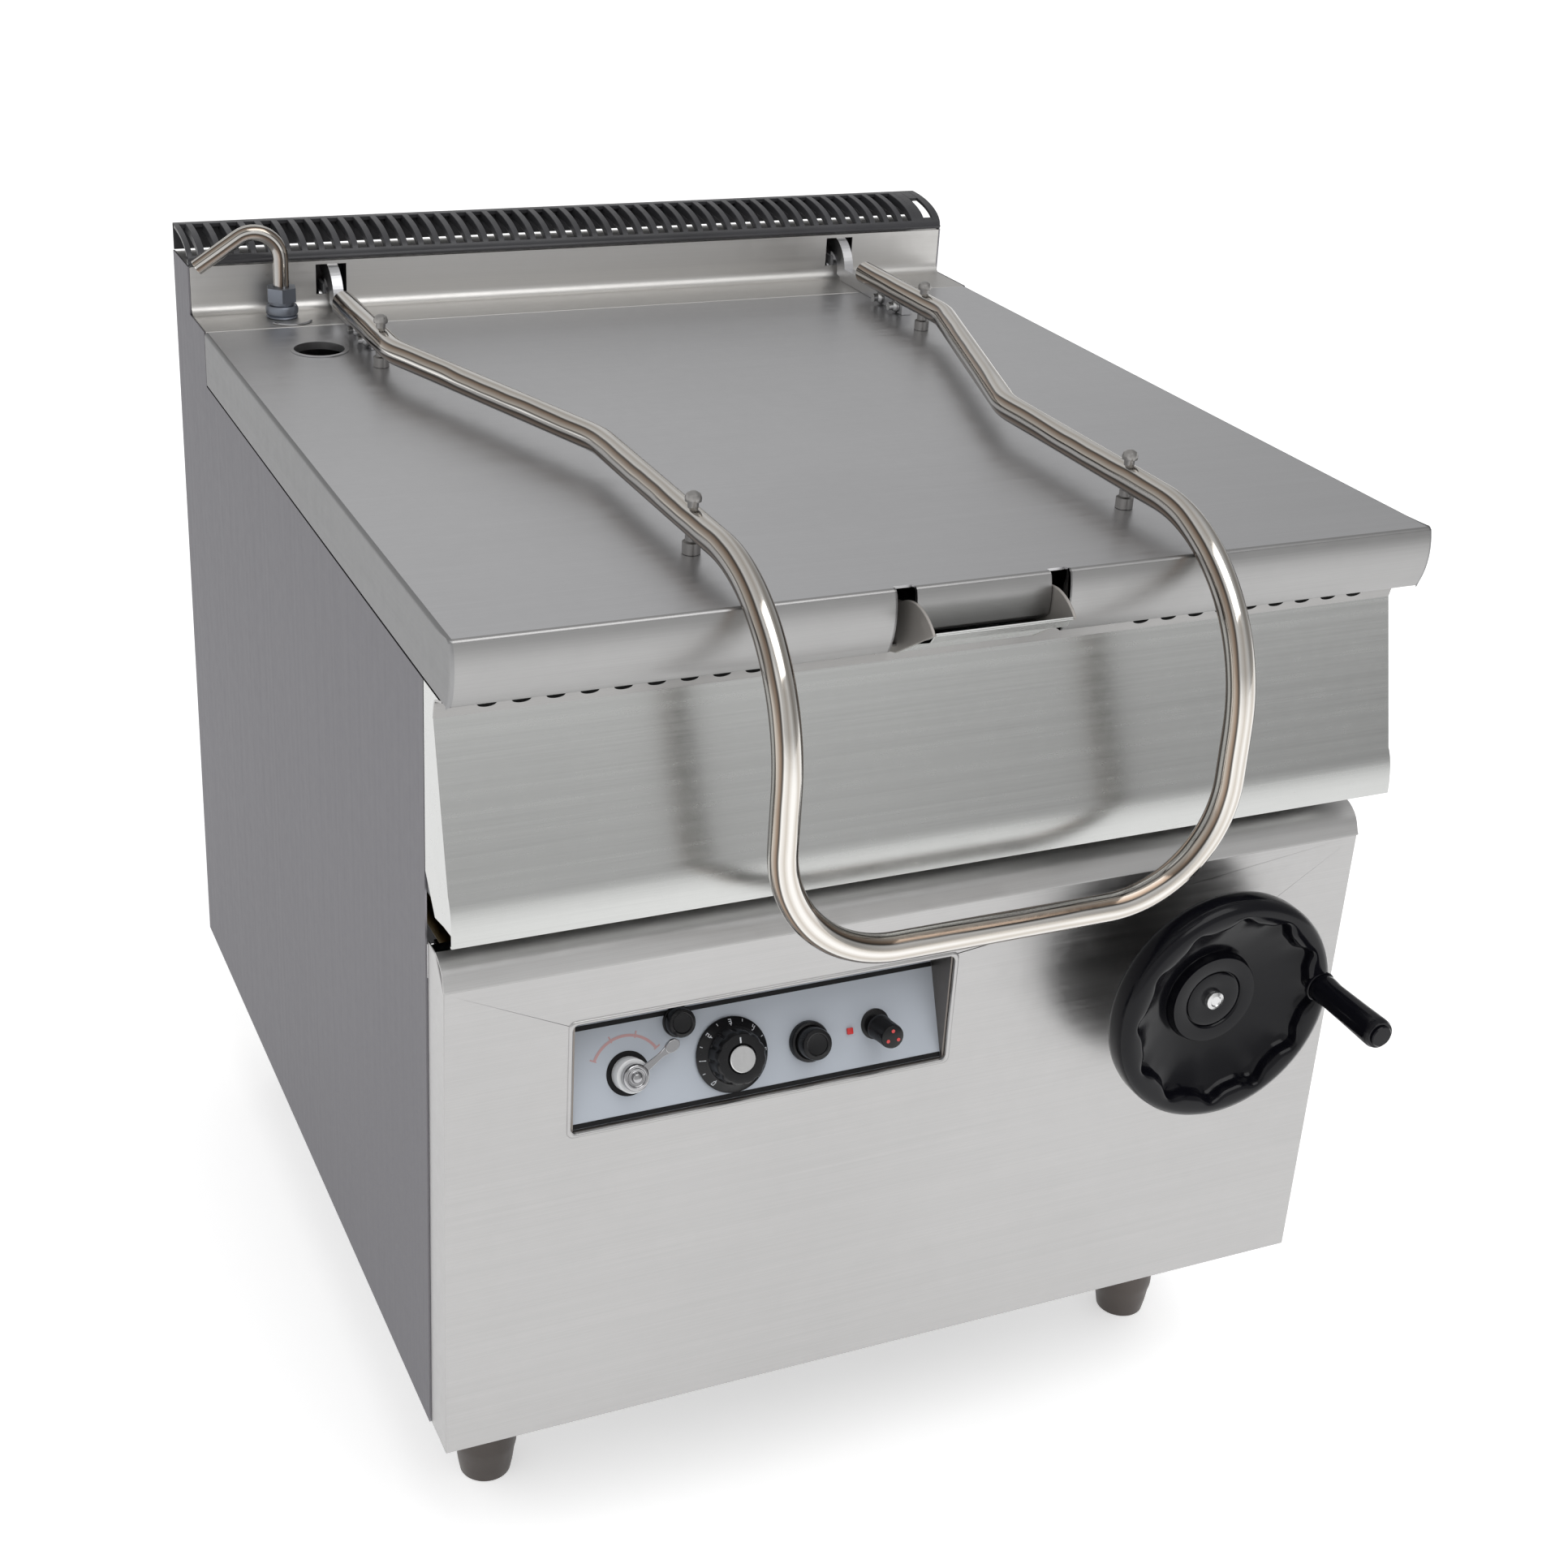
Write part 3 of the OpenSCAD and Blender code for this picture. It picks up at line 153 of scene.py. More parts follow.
class Shape:
    """The points and faces of one piece, gathered from closed solids and surfaces."""

    def __init__(self):
        self.points = []
        self.faces = []
        self.marks = []

    def add(self, points, faces):
        """Adds points and the faces that number them."""
        base = len(self.points)
        self.points.extend([tuple(p) for p in np.asarray(points, float).reshape(-1, 3)])
        self.faces.extend([tuple(base + i for i in face) for face in faces])

    def grid(self, rows, around=False, caps=False):
        """A surface through equal rows of points.

        around joins each row's ends; caps close the first and the last row."""
        rows = np.asarray(rows, float)
        m, n = rows.shape[:2]
        faces = []
        for i in range(m - 1):
            for j in range(n if around else n - 1):
                k = (j + 1) % n
                faces.append((i * n + j, (i + 1) * n + j, (i + 1) * n + k, i * n + k))
        if caps:
            faces += [tuple(range(n)), tuple((m - 1) * n + j for j in range(n))]
        self.add(rows, faces)

    def prism(self, outline, place_a, place_b, holes=()):
        """A solid between two places of one outline, with holes through it.

        Its two ends are cut into triangles where it has holes."""
        loops = [np.asarray(outline, float)] + [np.asarray(h, float) for h in holes]
        flat = np.vstack(loops)
        n = len(flat)
        points = [place_a(p) for p in flat] + [place_b(p) for p in flat]
        faces = []
        if holes:
            cut = tessellate_polygon([[Vector((p[0], p[1], 0)) for p in loop] for loop in loops])
            faces += [tuple(t) for t in cut] + [tuple(n + i for i in t) for t in cut]
        else:
            faces += [tuple(range(n)), tuple(n + i for i in range(n))]
        start = 0
        for loop in loops:
            m = len(loop)
            for j in range(m):
                a, b = start + j, start + (j + 1) % m
                faces.append((a, b, n + b, n + a))
            start += m
        self.add(points, faces)

    def bar(self, outline, x0, x1):
        """A solid with one outline of Y and Z between two X."""
        self.prism(outline, plane_x(x0), plane_x(x1))

    def block(self, low, high):
        """A box between two corners."""
        self.prism(box_loop(low[:2], high[:2]), plane_z(low[2]), plane_z(high[2]))

    def turned(self, profile, centre, axis=(0, 0, 1), sides=48, ends=True):
        """A solid of revolution: a centre, plus radius times a turned spoke, plus height up the axis."""
        axis = np.array(axis, float)
        axis /= np.linalg.norm(axis)
        side = np.cross(axis, [1.0, 0.0, 0.0] if abs(axis[0]) < 0.9 else [0.0, 1.0, 0.0])
        side /= np.linalg.norm(side)
        other = np.cross(axis, side)
        turn = np.radians(np.arange(sides) * 360.0 / sides)
        spokes = np.outer(np.cos(turn), side) + np.outer(np.sin(turn), other)
        rows = [np.array(centre, float) + r * spokes + h * axis for r, h in profile]
        self.grid(np.array(rows), around=True, caps=ends)

    def tube(self, path, radius, sides=24, caps=True):
        """A round tube along a path: rings square to the path, each turned as little as possible.

        radius is one number or one for each point of the path. Its marks hold each point's share of the way
        from the ring's top to its bottom, and its distance along the path."""
        path = np.asarray(path, float)
        radii = np.broadcast_to(radius, len(path))
        ahead = np.gradient(path, axis=0)
        ahead /= np.linalg.norm(ahead, axis=1)[:, None]
        normal = np.cross(ahead[0], [0.0, 0.0, 1.0] if abs(ahead[0][2]) < 0.9 else [1.0, 0.0, 0.0])
        turn = np.radians(np.arange(sides) * 360.0 / sides)
        rows = []
        for p, t, r in zip(path, ahead, radii):
            normal = normal - (normal @ t) * t
            normal /= np.linalg.norm(normal)
            other = np.cross(t, normal)
            rows.append(p + r * (np.outer(np.cos(turn), normal) + np.outer(np.sin(turn), other)))
        length = np.concatenate([[0.0], np.cumsum(np.linalg.norm(np.diff(path, axis=0), axis=1))]) * mm
        share = np.abs((np.arange(sides) / sides + 0.75) % 1.0 - 0.5) * 2
        self.marks += [(a, b) for b in length for a in share]
        self.grid(np.array(rows), around=True, caps=caps)


def build(name, shape, finish_name, body, replaces=(), bevel=0.0, merge=0.0, sharp=35.0):
    """A piece from a shape: faces turned outwards, edges past an angle kept crisp, corners bevelled."""
    mesh = bpy.data.meshes.new(name)
    mesh.from_pydata(world(shape.points).tolist(), [], shape.faces)
    mesh.update()
    work = bmesh.new()
    work.from_mesh(mesh)
    if merge:
        bmesh.ops.remove_doubles(work, verts=work.verts, dist=merge * mm)
    bmesh.ops.recalc_face_normals(work, faces=work.faces)
    work.to_mesh(mesh)
    work.free()
    mesh.polygons.foreach_set("use_smooth", [True] * len(mesh.polygons))
    mesh.set_sharp_from_angle(angle=math.radians(sharp))
    mesh.update()
    if shape.marks:
        layer = mesh.uv_layers.new(name="around")
        for loop in mesh.loops:
            layer.data[loop.index].uv = shape.marks[loop.vertex_index]
    piece = bpy.data.objects.new(name, mesh)
    bpy.context.scene.collection.objects.link(piece)
    mesh.materials.append(finish[finish_name])
    if bevel:
        soften(piece, bevel)
    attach(piece, body)
    if replaces:
        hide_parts(*replaces)
    return piece


bevel_steps = 2
bevel_angle = 38.0


def soften(piece, width):
    """Rounds the piece's sharp edges by a width in millimetres."""
    edge = piece.modifiers.new("edges", "BEVEL")
    edge.width = width * mm
    edge.segments = bevel_steps
    edge.limit_method = "ANGLE"
    edge.angle_limit = math.radians(bevel_angle)
    edge.use_clamp_overlap = True


# Finishes: a grain is three stretch factors, small along the lines and large across them
even = (1.0, 1.0, 1.0)
along = (6.0, 2400.0, 2400.0)
deep = (2400.0, 6.0, 2400.0)
upright = (2400.0, 2400.0, 6.0)


def start_finish(name):
    """A node material with its shader."""
    material = bpy.data.materials.new(name)
    material.use_nodes = True
    tree = material.node_tree
    tree.nodes.clear()
    output = tree.nodes.new("ShaderNodeOutputMaterial")
    shader = tree.nodes.new("ShaderNodeBsdfPrincipled")
    tree.links.new(shader.outputs["BSDF"], output.inputs["Surface"])
    return material, tree, shader


def add_node(tree, kind, inputs=None, **settings):
    """A node with its settings; inputs maps a socket to a value or to another node's output."""
    node = tree.nodes.new(kind)
    for key, value in settings.items():
        setattr(node, key, value)
    for key, value in (inputs or {}).items():
        if isinstance(value, bpy.types.NodeSocket):
            tree.links.new(value, node.inputs[key])
        else:
            node.inputs[key].default_value = value
    return node


def noise(tree, stretch, scale, detail=4.0, rough=0.6):
    """Noise on Object coordinates, stretched by three factors."""
    where = add_node(tree, "ShaderNodeTexCoord").outputs["Object"]
    mapped = add_node(tree, "ShaderNodeMapping", {"Vector": where, "Scale": stretch})
    field = add_node(tree, "ShaderNodeTexNoise", {
        "Vector": mapped.outputs["Vector"], "Scale": scale, "Detail": detail, "Roughness": rough})
    return field.outputs["Fac"]


def spread(tree, value, low, high, start=0.3, end=0.7):
    """A value between two limits carried to a range."""
    carried = add_node(tree, "ShaderNodeMapRange", {
        "Value": value, "From Min": start, "From Max": end, "To Min": low, "To Max": high})
    return carried.outputs["Result"]


def tint(tree, value, dark, light):
    """A mix of two colours by a value."""
    mix = add_node(tree, "ShaderNodeMix", data_type="RGBA")
    tree.links.new(value, mix.inputs["Factor"])
    sockets = [s for s in mix.inputs if s.type == "RGBA"]
    sockets[0].default_value = (*dark, 1)
    sockets[1].default_value = (*light, 1)
    return [s for s in mix.outputs if s.type == "RGBA"][0]


def shades(color, contrast):
    """A colour made darker and lighter by a share."""
    return tuple(c * (1.0 - contrast) for c in color), tuple(min(1.0, c * (1.0 + contrast)) for c in color)


def arithmetic(tree, kind, a, b):
    """The result of one sum on two values."""
    return add_node(tree, "ShaderNodeMath", {0: a, 1: b}, operation=kind).outputs[0]


def set_bump(tree, shader, height, strength, distance):
    """A bump on the shader's normal."""
    node = add_node(tree, "ShaderNodeBump", {"Height": height, "Strength": strength, "Distance": distance})
    tree.links.new(node.outputs["Normal"], shader.inputs["Normal"])


def steel(name, color, rough, grain, contrast=0.05, lines=0.3, metal=1.0, edge=1.0):
    """Brushed steel: fine lines along one axis, weaker broad streaks, soft clouds of tone and rubbed marks.

    Its tone is a quarter streaks, three tenths clouds and the rest fine lines. lines is the strength of the
    lines' bump, edge the share of its shine that is left at a grazing view."""
    material, tree, shader = start_finish(name)
    brush = noise(tree, grain, 1.0, 3.0, 0.7)
    streaks = noise(tree, tuple(g / 14.0 for g in grain), 1.0, 3.0, 0.6)
    clouds = noise(tree, even, 3.0, 3.0, 0.5)
    marks = noise(tree, even, 60.0, 6.0, 0.7)
    broad = arithmetic(tree, "ADD", arithmetic(tree, "MULTIPLY", streaks, 0.25),
                       arithmetic(tree, "MULTIPLY", clouds, 0.3))
    tone = arithmetic(tree, "ADD", broad, arithmetic(tree, "MULTIPLY", brush, 0.45))
    mixed = tint(tree, spread(tree, tone, 0.0, 1.0, 0.4, 0.6), *shades(color, contrast))
    tree.links.new(mixed, shader.inputs["Base Color"])
    wear = arithmetic(tree, "MULTIPLY", streaks, marks)
    tree.links.new(spread(tree, wear, rough * 0.88, rough * 1.15, 0.12, 0.4), shader.inputs["Roughness"])
    shader.inputs["Metallic"].default_value = metal
    shader.inputs["Specular Tint"].default_value = (edge, edge, edge, 1)
    set_bump(tree, shader, brush, lines, 0.00003)
    return material


def plain(name, color, rough=0.4, metal=0.0, grain=120.0, depth=0.0002, contrast=0.1, coat=0.0, gloss=0.5):
    """A painted, moulded or cast finish: mottling in tone, roughness and height."""
    material, tree, shader = start_finish(name)
    field = noise(tree, even, grain, 5.0, 0.6)
    large = noise(tree, even, grain / 12.0, 3.0, 0.5)
    mixed = tint(tree, spread(tree, large, 0.0, 1.0), *shades(color, contrast))
    tree.links.new(mixed, shader.inputs["Base Color"])
    tree.links.new(spread(tree, field, rough * 0.85, rough * 1.2), shader.inputs["Roughness"])
    shader.inputs["Metallic"].default_value = metal
    shader.inputs["Coat Weight"].default_value = coat
    shader.inputs["Specular IOR Level"].default_value = gloss
    set_bump(tree, shader, field, 0.12, depth)
    return material


def reflection_streaked(name, rough=0.1):
    """Polished tube with painted reflections: bright, brown and dark streaks along it, painted highlights and
    painted dark reflections fixed on the surface.

    A streak's colour goes by the UV's share of the way round from the ring's top to its bottom, moved a
    little by a slow noise."""
    material, tree, shader = start_finish(name)
    around = add_node(tree, "ShaderNodeTexCoord").outputs["UV"]
    where = add_node(tree, "ShaderNodeSeparateXYZ", {"Vector": around})
    drift = arithmetic(tree, "MULTIPLY", noise(tree, even, 9.0, 2.0, 0.5), 0.16)
    share = arithmetic(tree, "SUBTRACT", arithmetic(tree, "ADD", where.outputs["X"], drift), 0.08)
    ramp = add_node(tree, "ShaderNodeValToRGB", {"Fac": share})
    stops = ramp.color_ramp.elements
    for i, (at, color) in enumerate(streaks):
        stop = stops[i] if i < 2 else stops.new(at)
        stop.position = at
        stop.color = (*color, 1)
    tree.links.new(ramp.outputs["Color"], shader.inputs["Base Color"])
    marks = noise(tree, even, 160.0, 5.0, 0.6)
    tree.links.new(spread(tree, marks, rough * 0.7, rough * 1.5), shader.inputs["Roughness"])
    shader.inputs["Metallic"].default_value = 1.0
    set_bump(tree, shader, marks, 0.1, 0.00003)
    return material


# Painted reflections on the polished tube: the light, beige and pale bands are painted highlights, the brown,
# dark and grey bands painted reflections of dark surroundings.
light, beige, brown, dark = (0.74, 0.72, 0.69), (0.5, 0.46, 0.41), (0.27, 0.2, 0.15), (0.05, 0.045, 0.04)
grey, pale = (0.36, 0.35, 0.34), (0.55, 0.54, 0.52)
streaks = [(0.0, light), (0.08, beige), (0.18, light), (0.215, dark), (0.27, brown), (0.37, beige),
           (0.4, dark), (0.44, light), (0.49, light), (0.53, dark), (0.6, brown), (0.75, grey), (1.0, pale)]
finish = {
    "frame_steel": plain("frame_paint", (0.1, 0.1, 0.105), 0.5),
    "foot_grey": plain("foot_finish", (0.085, 0.07, 0.062), 0.42, contrast=0.35, grain=60.0),
    # Side panels: a darker copy of the casing's steel, painted shade on the sides.
    "side_steel": steel("side_panel_shaded_steel", (0.25, 0.245, 0.262), 0.44, upright, 0.02, 0.04, edge=0.55),
    "front_steel": steel("front_panel_steel", (0.45, 0.445, 0.442), 0.36, along),
    "control_enamel": plain("control_plate_enamel", (0.5, 0.54, 0.6), 0.35, contrast=0.03),
    "casing_steel": steel("splash_steel", (0.56, 0.55, 0.535), 0.4, along, contrast=0.03),
    "grille_black": plain("grille_enamel", (0.04, 0.04, 0.044), 0.36, contrast=0.25, gloss=0.4),
    "chamber_steel": steel("chamber_steel", (0.2, 0.18, 0.16), 0.5, along, contrast=0.25),
    "brass_parts": plain("brass", (0.6, 0.42, 0.14), 0.35, 1.0),
    "valve_alloy": plain("valve_alloy", (0.24, 0.26, 0.3), 0.38, 1.0),
    "white_ceramic": plain("white_moulding", (0.78, 0.79, 0.8), 0.22, contrast=0.03, coat=0.3),
    "cast_grey": plain("cast_grey", (0.12, 0.12, 0.125), 0.55, contrast=0.25),
    "bright_steel": steel("turned_steel", (0.6, 0.6, 0.6), 0.22, upright),
    "pan_steel": steel("pan_steel", (0.5, 0.49, 0.47), 0.35, along),
    "apron_steel": steel("apron_steel", (0.53, 0.535, 0.525), 0.25, along),
    # Lid skirts: a darker copy of the lid's steel, painted shade on its side faces.
    "skirt_shaded_steel": steel("skirt_shaded_steel", (0.3, 0.3, 0.303), 0.4, deep, edge=0.65),
    # Recess cheeks: dark brownish steel, painted shade inside the control recess.
    "recess_shaded_steel": steel("recess_shaded_steel", (0.22, 0.2, 0.185), 0.4, upright),
    # Spout cheeks: a darker, half-metal copy of the spout's steel, painted shade of even tone.
    "cheek_shaded_steel": steel("cheek_shaded_steel", (0.36, 0.34, 0.32), 0.45, along, metal=0.45),
    # Rolled lid front: a darker copy of the lid's steel, painted shade.
    "nose_shaded_steel": steel("nose_shaded_steel", (0.36, 0.357, 0.355), 0.34, along),
    # Vented strip: a darker copy of the apron's steel, painted shade.
    "strip_shaded_steel": steel("strip_shaded_steel", (0.34, 0.335, 0.33), 0.3, along),
    "lid_steel": steel("lid_steel", (0.55, 0.55, 0.56), 0.34, along),
    # tube_steel: painted reflections as streaks round the bow and the tap.
    "tube_steel": reflection_streaked("tube_steel"),
    "spacer_steel": steel("spacer_steel", (0.34, 0.33, 0.32), 0.3, upright),
    "chrome": plain("chrome", (0.4, 0.4, 0.41), 0.1, 1.0, contrast=0.05),
    # Nosing: a lighter copy of the front panel's steel, painted light.
    "nosing_lit_steel": steel("nosing_lit_steel", (0.55, 0.545, 0.54), 0.42, along),
    "wheel_black": plain("wheel_moulding", (0.004, 0.004, 0.006), 0.16, gloss=0.22, depth=0.00005),
    "knob_black": plain("knob_moulding", (0.008, 0.008, 0.009), 0.24, gloss=0.3, depth=0.00005),
    "lamp_red": plain("lamp_lens", (0.65, 0.02, 0.02), 0.2, coat=0.5),
    "print_black": plain("black_print", (0.008, 0.008, 0.009), 0.4, gloss=0.2),
    "print_white": plain("white_print", (0.6, 0.62, 0.65), 0.4),
    "print_red": plain("red_print", (0.55, 0.33, 0.33), 0.4),
    "shadow_black": plain("painted_shade_inside", (0.006, 0.006, 0.006), 0.8, gloss=0.1),
}
slot_of = {part["node"]: part["material_slot"] for part in frame["record"]["subparts"]}
for name, node in frame["nodes"].items():
    node.data.materials.clear()
    node.data.materials.append(finish[slot_of[name]])


# Lid: a folded sheet with a rolled front, cut out around the spout
lid_rear = 766.0
lid_t = 2.0
lid_skirt = -50.0
gap_half = 71.0
flap_half = 55.0
fold = 3.0
lid_front = 3.2
nose_bend = (54.1, -20.5)
nose_r = 58.0
bend_r = 3.2
nose_arc = arc(nose_bend, nose_r, 161.2, 209.3, 16)
nose_line = rounded([(lid_front, 0.0), (-0.9, 0.0)] + nose_arc + [(4.2, lid_skirt), (14.0, lid_skirt - 0.2)],
                    [0, bend_r] + [0] * (len(nose_arc) - 1) + [0, 1.2, 0], 5)
flap_arc = arc(nose_bend, nose_r, 161.2, 191.5, 10)
flap_line = rounded([(lid_front, 0.0), (-0.9, 0.0)] + flap_arc + [(1.5, -36.0)],
                    [0, bend_r] + [0] * (len(flap_arc) - 1) + [1.5, 0], 5)
fill_at = (-312.0, 687.0)
fill_r = 24.5
stud_places = [(s * x, y) for s in (-1, 1) for x, y in ((184.0, 108.0), (272.0, 622.0))]


def lid_holes():
    """The fill hole and the four stud holes in the lid's top."""
    return [circle(fill_at, fill_r)] + [circle(p, 3.2, 16) for p in stud_places]


def draw_lid():
    """The lid's top and its rear edge, each a closed sheet."""
    lid = Shape()
    front = [(half_w - fold, lid_front), (gap_half, lid_front), (gap_half, 6.0), (flap_half, 6.0),
             (flap_half, lid_front)]
    outline = front + [(-x, y) for x, y in front[::-1]]
    outline += [(-half_w + fold, lid_rear), (half_w - fold, lid_rear)]
    lid.prism(outline, plane_z(-lid_t), plane_z(0.0), lid_holes())
    rear = [(lid_rear - 1.5, -0.2), (lid_rear, -3.0), (lid_rear, -18.0)]
    lid.bar(thick(rear, -lid_t), -half_w + fold, half_w - fold)
    return lid


def draw_nose():
    """The rolled front edge: two halves, each closed at its inner end, and the flap over the spout."""
    nose = Shape()
    nose.bar(thick(flap_line, lid_t), -flap_half, flap_half)
    for x0, x1 in ((-half_w + fold, -gap_half), (gap_half, half_w - fold)):
        nose.bar(thick(nose_line, lid_t), x0, x1)
    for x in (-gap_half - sheet_t, gap_half):
        nose.bar(nose_line, x, x + sheet_t)
    return nose


def draw_skirts():
    """The lid's side skirts, folded from the top through a quarter round that follows the nose.

    The fold goes out by the sine and down by one less the cosine of its angle."""
    skirts = Shape()
    outer = [(30.0, 0.0)] + [tuple(p) for p in nose_line[1:] if p[1] > lid_skirt + 0.5]
    line = [(lid_rear, 0.0)] + outer + [(4.4, lid_skirt), (lid_rear, lid_skirt)]
    shrunk = [(y + fold * 0.9, z - fold if y > fold else z) for y, z in outer]
    inner = np.array([(lid_rear, -fold)] + shrunk + [(4.4 + fold, lid_skirt), (lid_rear, lid_skirt)])
    line = np.array(line)
    steps = 5
    for side in (-1, 1):
        rows = []
        for i in range(steps + 1):
            a = math.radians(90.0 * i / steps)
            x = side * (half_w - fold + fold * math.sin(a))
            share = 1 - math.cos(a)
            rows.append([(x, y + (v - y) * share, z + (w - z) * share)
                         for (y, z), (v, w) in zip(line, inner)])
        rows.append([(side * half_w, v, w) for v, w in inner])
        skirts.grid(np.array(rows), around=True, caps=True)
    return skirts


build("lid_sheet", draw_lid(), "lid_steel", "lid", ("lid_shell",))
build("lid_nose", draw_nose(), "nose_shaded_steel", "lid")
build("lid_skirts", draw_skirts(), "skirt_shaded_steel", "lid")

ring = Shape()
ring.prism(circle(fill_at, 26.5, 64), plane_z(0.2), plane_z(1.0), [circle(fill_at, 23.0, 64)])
ring.prism(circle(fill_at, 24.4, 64), plane_z(-6.0), plane_z(0.2), [circle(fill_at, 23.0, 64)])
build("fill_collar", ring, "lid_steel", "lid", ("fill_ring",), bevel=0.3)


# Bow handle: one bent tube along the lid and down in front of it
bow_r = 11.0
bow_z = 25.0
bow_rear_x, bow_front_x = 272.0, 184.0
bow_bend_y, bow_bend_r = 58.0, 133.0
bow_loop_y, bow_loop_z, bow_loop_r = -75.0, -246.0, 95.0
jog_reach = 14.0


def bow_line():
    """The tube's middle line: two arms with a jog each, and a hanging loop made of arcs.

    A jog's bend is its corner plus each side's way times the square of the share gone or left."""
    half = [(bow_rear_x, 752.0, bow_z), (bow_rear_x, 580.0, bow_z), (bow_front_x, 300.0, bow_z),
            (bow_front_x, bow_bend_y, bow_z)]
    path = []
    for i, p in enumerate(half[:-1]):
        p = np.array(p)
        if i == 0:
            path.append(p)
            continue
        a = np.array(half[i - 1]) - p
        b = np.array(half[i + 1]) - p
        a /= np.linalg.norm(a)
        b /= np.linalg.norm(b)
        for t in np.linspace(0, 1, 9):
            path.append(p + a * jog_reach * (1 - t) ** 2 + b * jog_reach * t ** 2)
    path += [np.array((bow_front_x, y, z))
             for y, z in arc((bow_bend_y, bow_z - bow_bend_r), bow_bend_r, 90, 180, 30)]
    path += [np.array((x, bow_loop_y, z))
             for x, z in arc((bow_front_x - bow_loop_r, bow_loop_z + bow_loop_r), bow_loop_r, 0, -90, 30)]
    path = np.array(path)
    return np.vstack([path, (path * np.array([-1, 1, 1]))[::-1]])


tube = Shape()
tube.tube(bow_line(), bow_r, 32)
build("bow_tube", tube, "tube_steel", "lid", ("bow_handle",), bevel=1.5, sharp=60)

studs = Shape()
for x, y in stud_places:
    at = (x, y, 0.0)
    studs.turned([(7.0, 0.3), (7.0, 9.0), (5.0, 10.0), (5.0, 15.0)], at, sides=24)
    studs.turned([(3.0, -8.0), (3.0, 0.5)], at, sides=16)
    studs.turned([(4.2, 34.0), (4.2, 39.5), (6.2, 40.0), (6.4, 42.5), (5.2, 45.5), (2.5, 47.2), (0.3, 47.6)],
                 at, sides=24)
build("handle_studs_round", studs, "spacer_steel", "lid", ("handle_studs",))


# Apron: vented top strip, leaning face and rounded lip
apron_top = -51.5
crease = (36.0, -71.5)
strip_line = rounded([(16.0, apron_top), (32.5, -57.0), crease], [0, 6.0, 0], 5)
lip_line = [(3.4, -192.0), (1.4, -195.0), (-0.6, -199.4), (-2.4, -205.0), (-3.9, -212.0), (-5.1, -220.0),
            (-5.6, -229.5)]
spout_half = 56.0
apron_inner = 398.0
apron_t = 1.6


def draw_apron():
    """The apron's face, lip, end plates and rear flange, open behind the spout."""
    apron = Shape()
    face = [crease] + lip_line + [(-2.6, -230.4)]
    apron.bar(thick(face, apron_t), -half_w, half_w)
    for x0, x1 in ((-half_w, -spout_half), (spout_half, half_w)):
        apron.bar([(18.0, -52.0), (20.0, -51.6), (61.0, -69.5), (61.0, -71.0)],
                  max(x0, -apron_inner), min(x1, apron_inner))
    apron.block((-apron_inner, -3.6, -223.5), (apron_inner, 34.0, -222.0))
    line = [tuple(p) for p in strip_line] + lip_line
    for x in (-half_w + 0.1, half_w - 0.1 - sheet_t):
        outline = [(17.6, apron_top - 0.6)] + [(y + 0.4, z) for y, z in line[1:-1]] + [
            (14.0, -222.0), (35.0, -226.0), (58.5, -200.0), (58.5, apron_top - 0.6)]
        apron.bar(outline, x, x + sheet_t)
    return apron


def draw_strip():
    """The vented strip along the apron's top, in two halves beside the spout."""
    strip = Shape()
    strip.bar(thick([(34.2, -63.5), crease], apron_t), -spout_half, spout_half)
    for x0, x1 in ((-half_w, -spout_half), (spout_half, half_w)):
        strip.bar(thick(strip_line, apron_t), x0, x1)
    return strip


vent_pitch = 25.0
vent_long, vent_high = 7.0, 3.0


def draw_vent_shades():
    """Black ovals on the strip, painted shade standing for its vent holes: one row along its lower edge, none
    near the spout.

    Each is an oval, its half length times the cosine along and its half height times the sine down."""
    vents = Shape()
    down = np.array([0.0, 3.5, -14.5])
    down /= np.linalg.norm(down)
    out = np.array([0.0, down[2], -down[1]])
    middle = np.array([12.5, 34.2, -64.0])
    turn = np.radians(np.arange(0, 360, 15))
    oval = [(vent_long * c, vent_high * s) for c, s in zip(np.cos(turn), np.sin(turn))]
    for i in range(-15, 15):
        if abs(i + 0.5) > 6:
            at = middle + (i * vent_pitch, 0.0, 0.0)
            vents.prism(oval, lambda p: tuple(at + (p[0], 0, 0) + p[1] * down + 0.15 * out),
                        lambda p: tuple(at + (p[0], 0, 0) + p[1] * down - 1.0 * out))
    return vents


build("apron_sheet", draw_apron(), "apron_steel", "pan", ("apron",), sharp=25)
build("apron_strip", draw_strip(), "strip_shaded_steel", "pan", sharp=25)
# The vents are painted shade: black ovals laid on the strip.
build("apron_vent_shades", draw_vent_shades(), "shadow_black", "pan")


# Spout trough between the nose's two halves
spout_t = 2.0
cheek_t = 2.5


def draw_spout():
    """A trough with a shallow floor and a front wall that leans out over the apron."""
    spout = Shape()
    wall = rounded([(64.0, -68.5), (18.5, -55.5), (-34.5, -22.0)], [0, 8.0, 0], 6)
    spout.bar(thick(wall, spout_t), -spout_half, spout_half)
    floor = rounded([(64.0, -66.5), (16.0, -43.5), (-8.0, -40.0), (-27.0, -31.5), (-34.5, -21.6)],
                    [0, 12.0, 12.0, 8.0, 0], 5)
    spout.bar(thick(floor, 1.0), -spout_half, spout_half)
    return spout


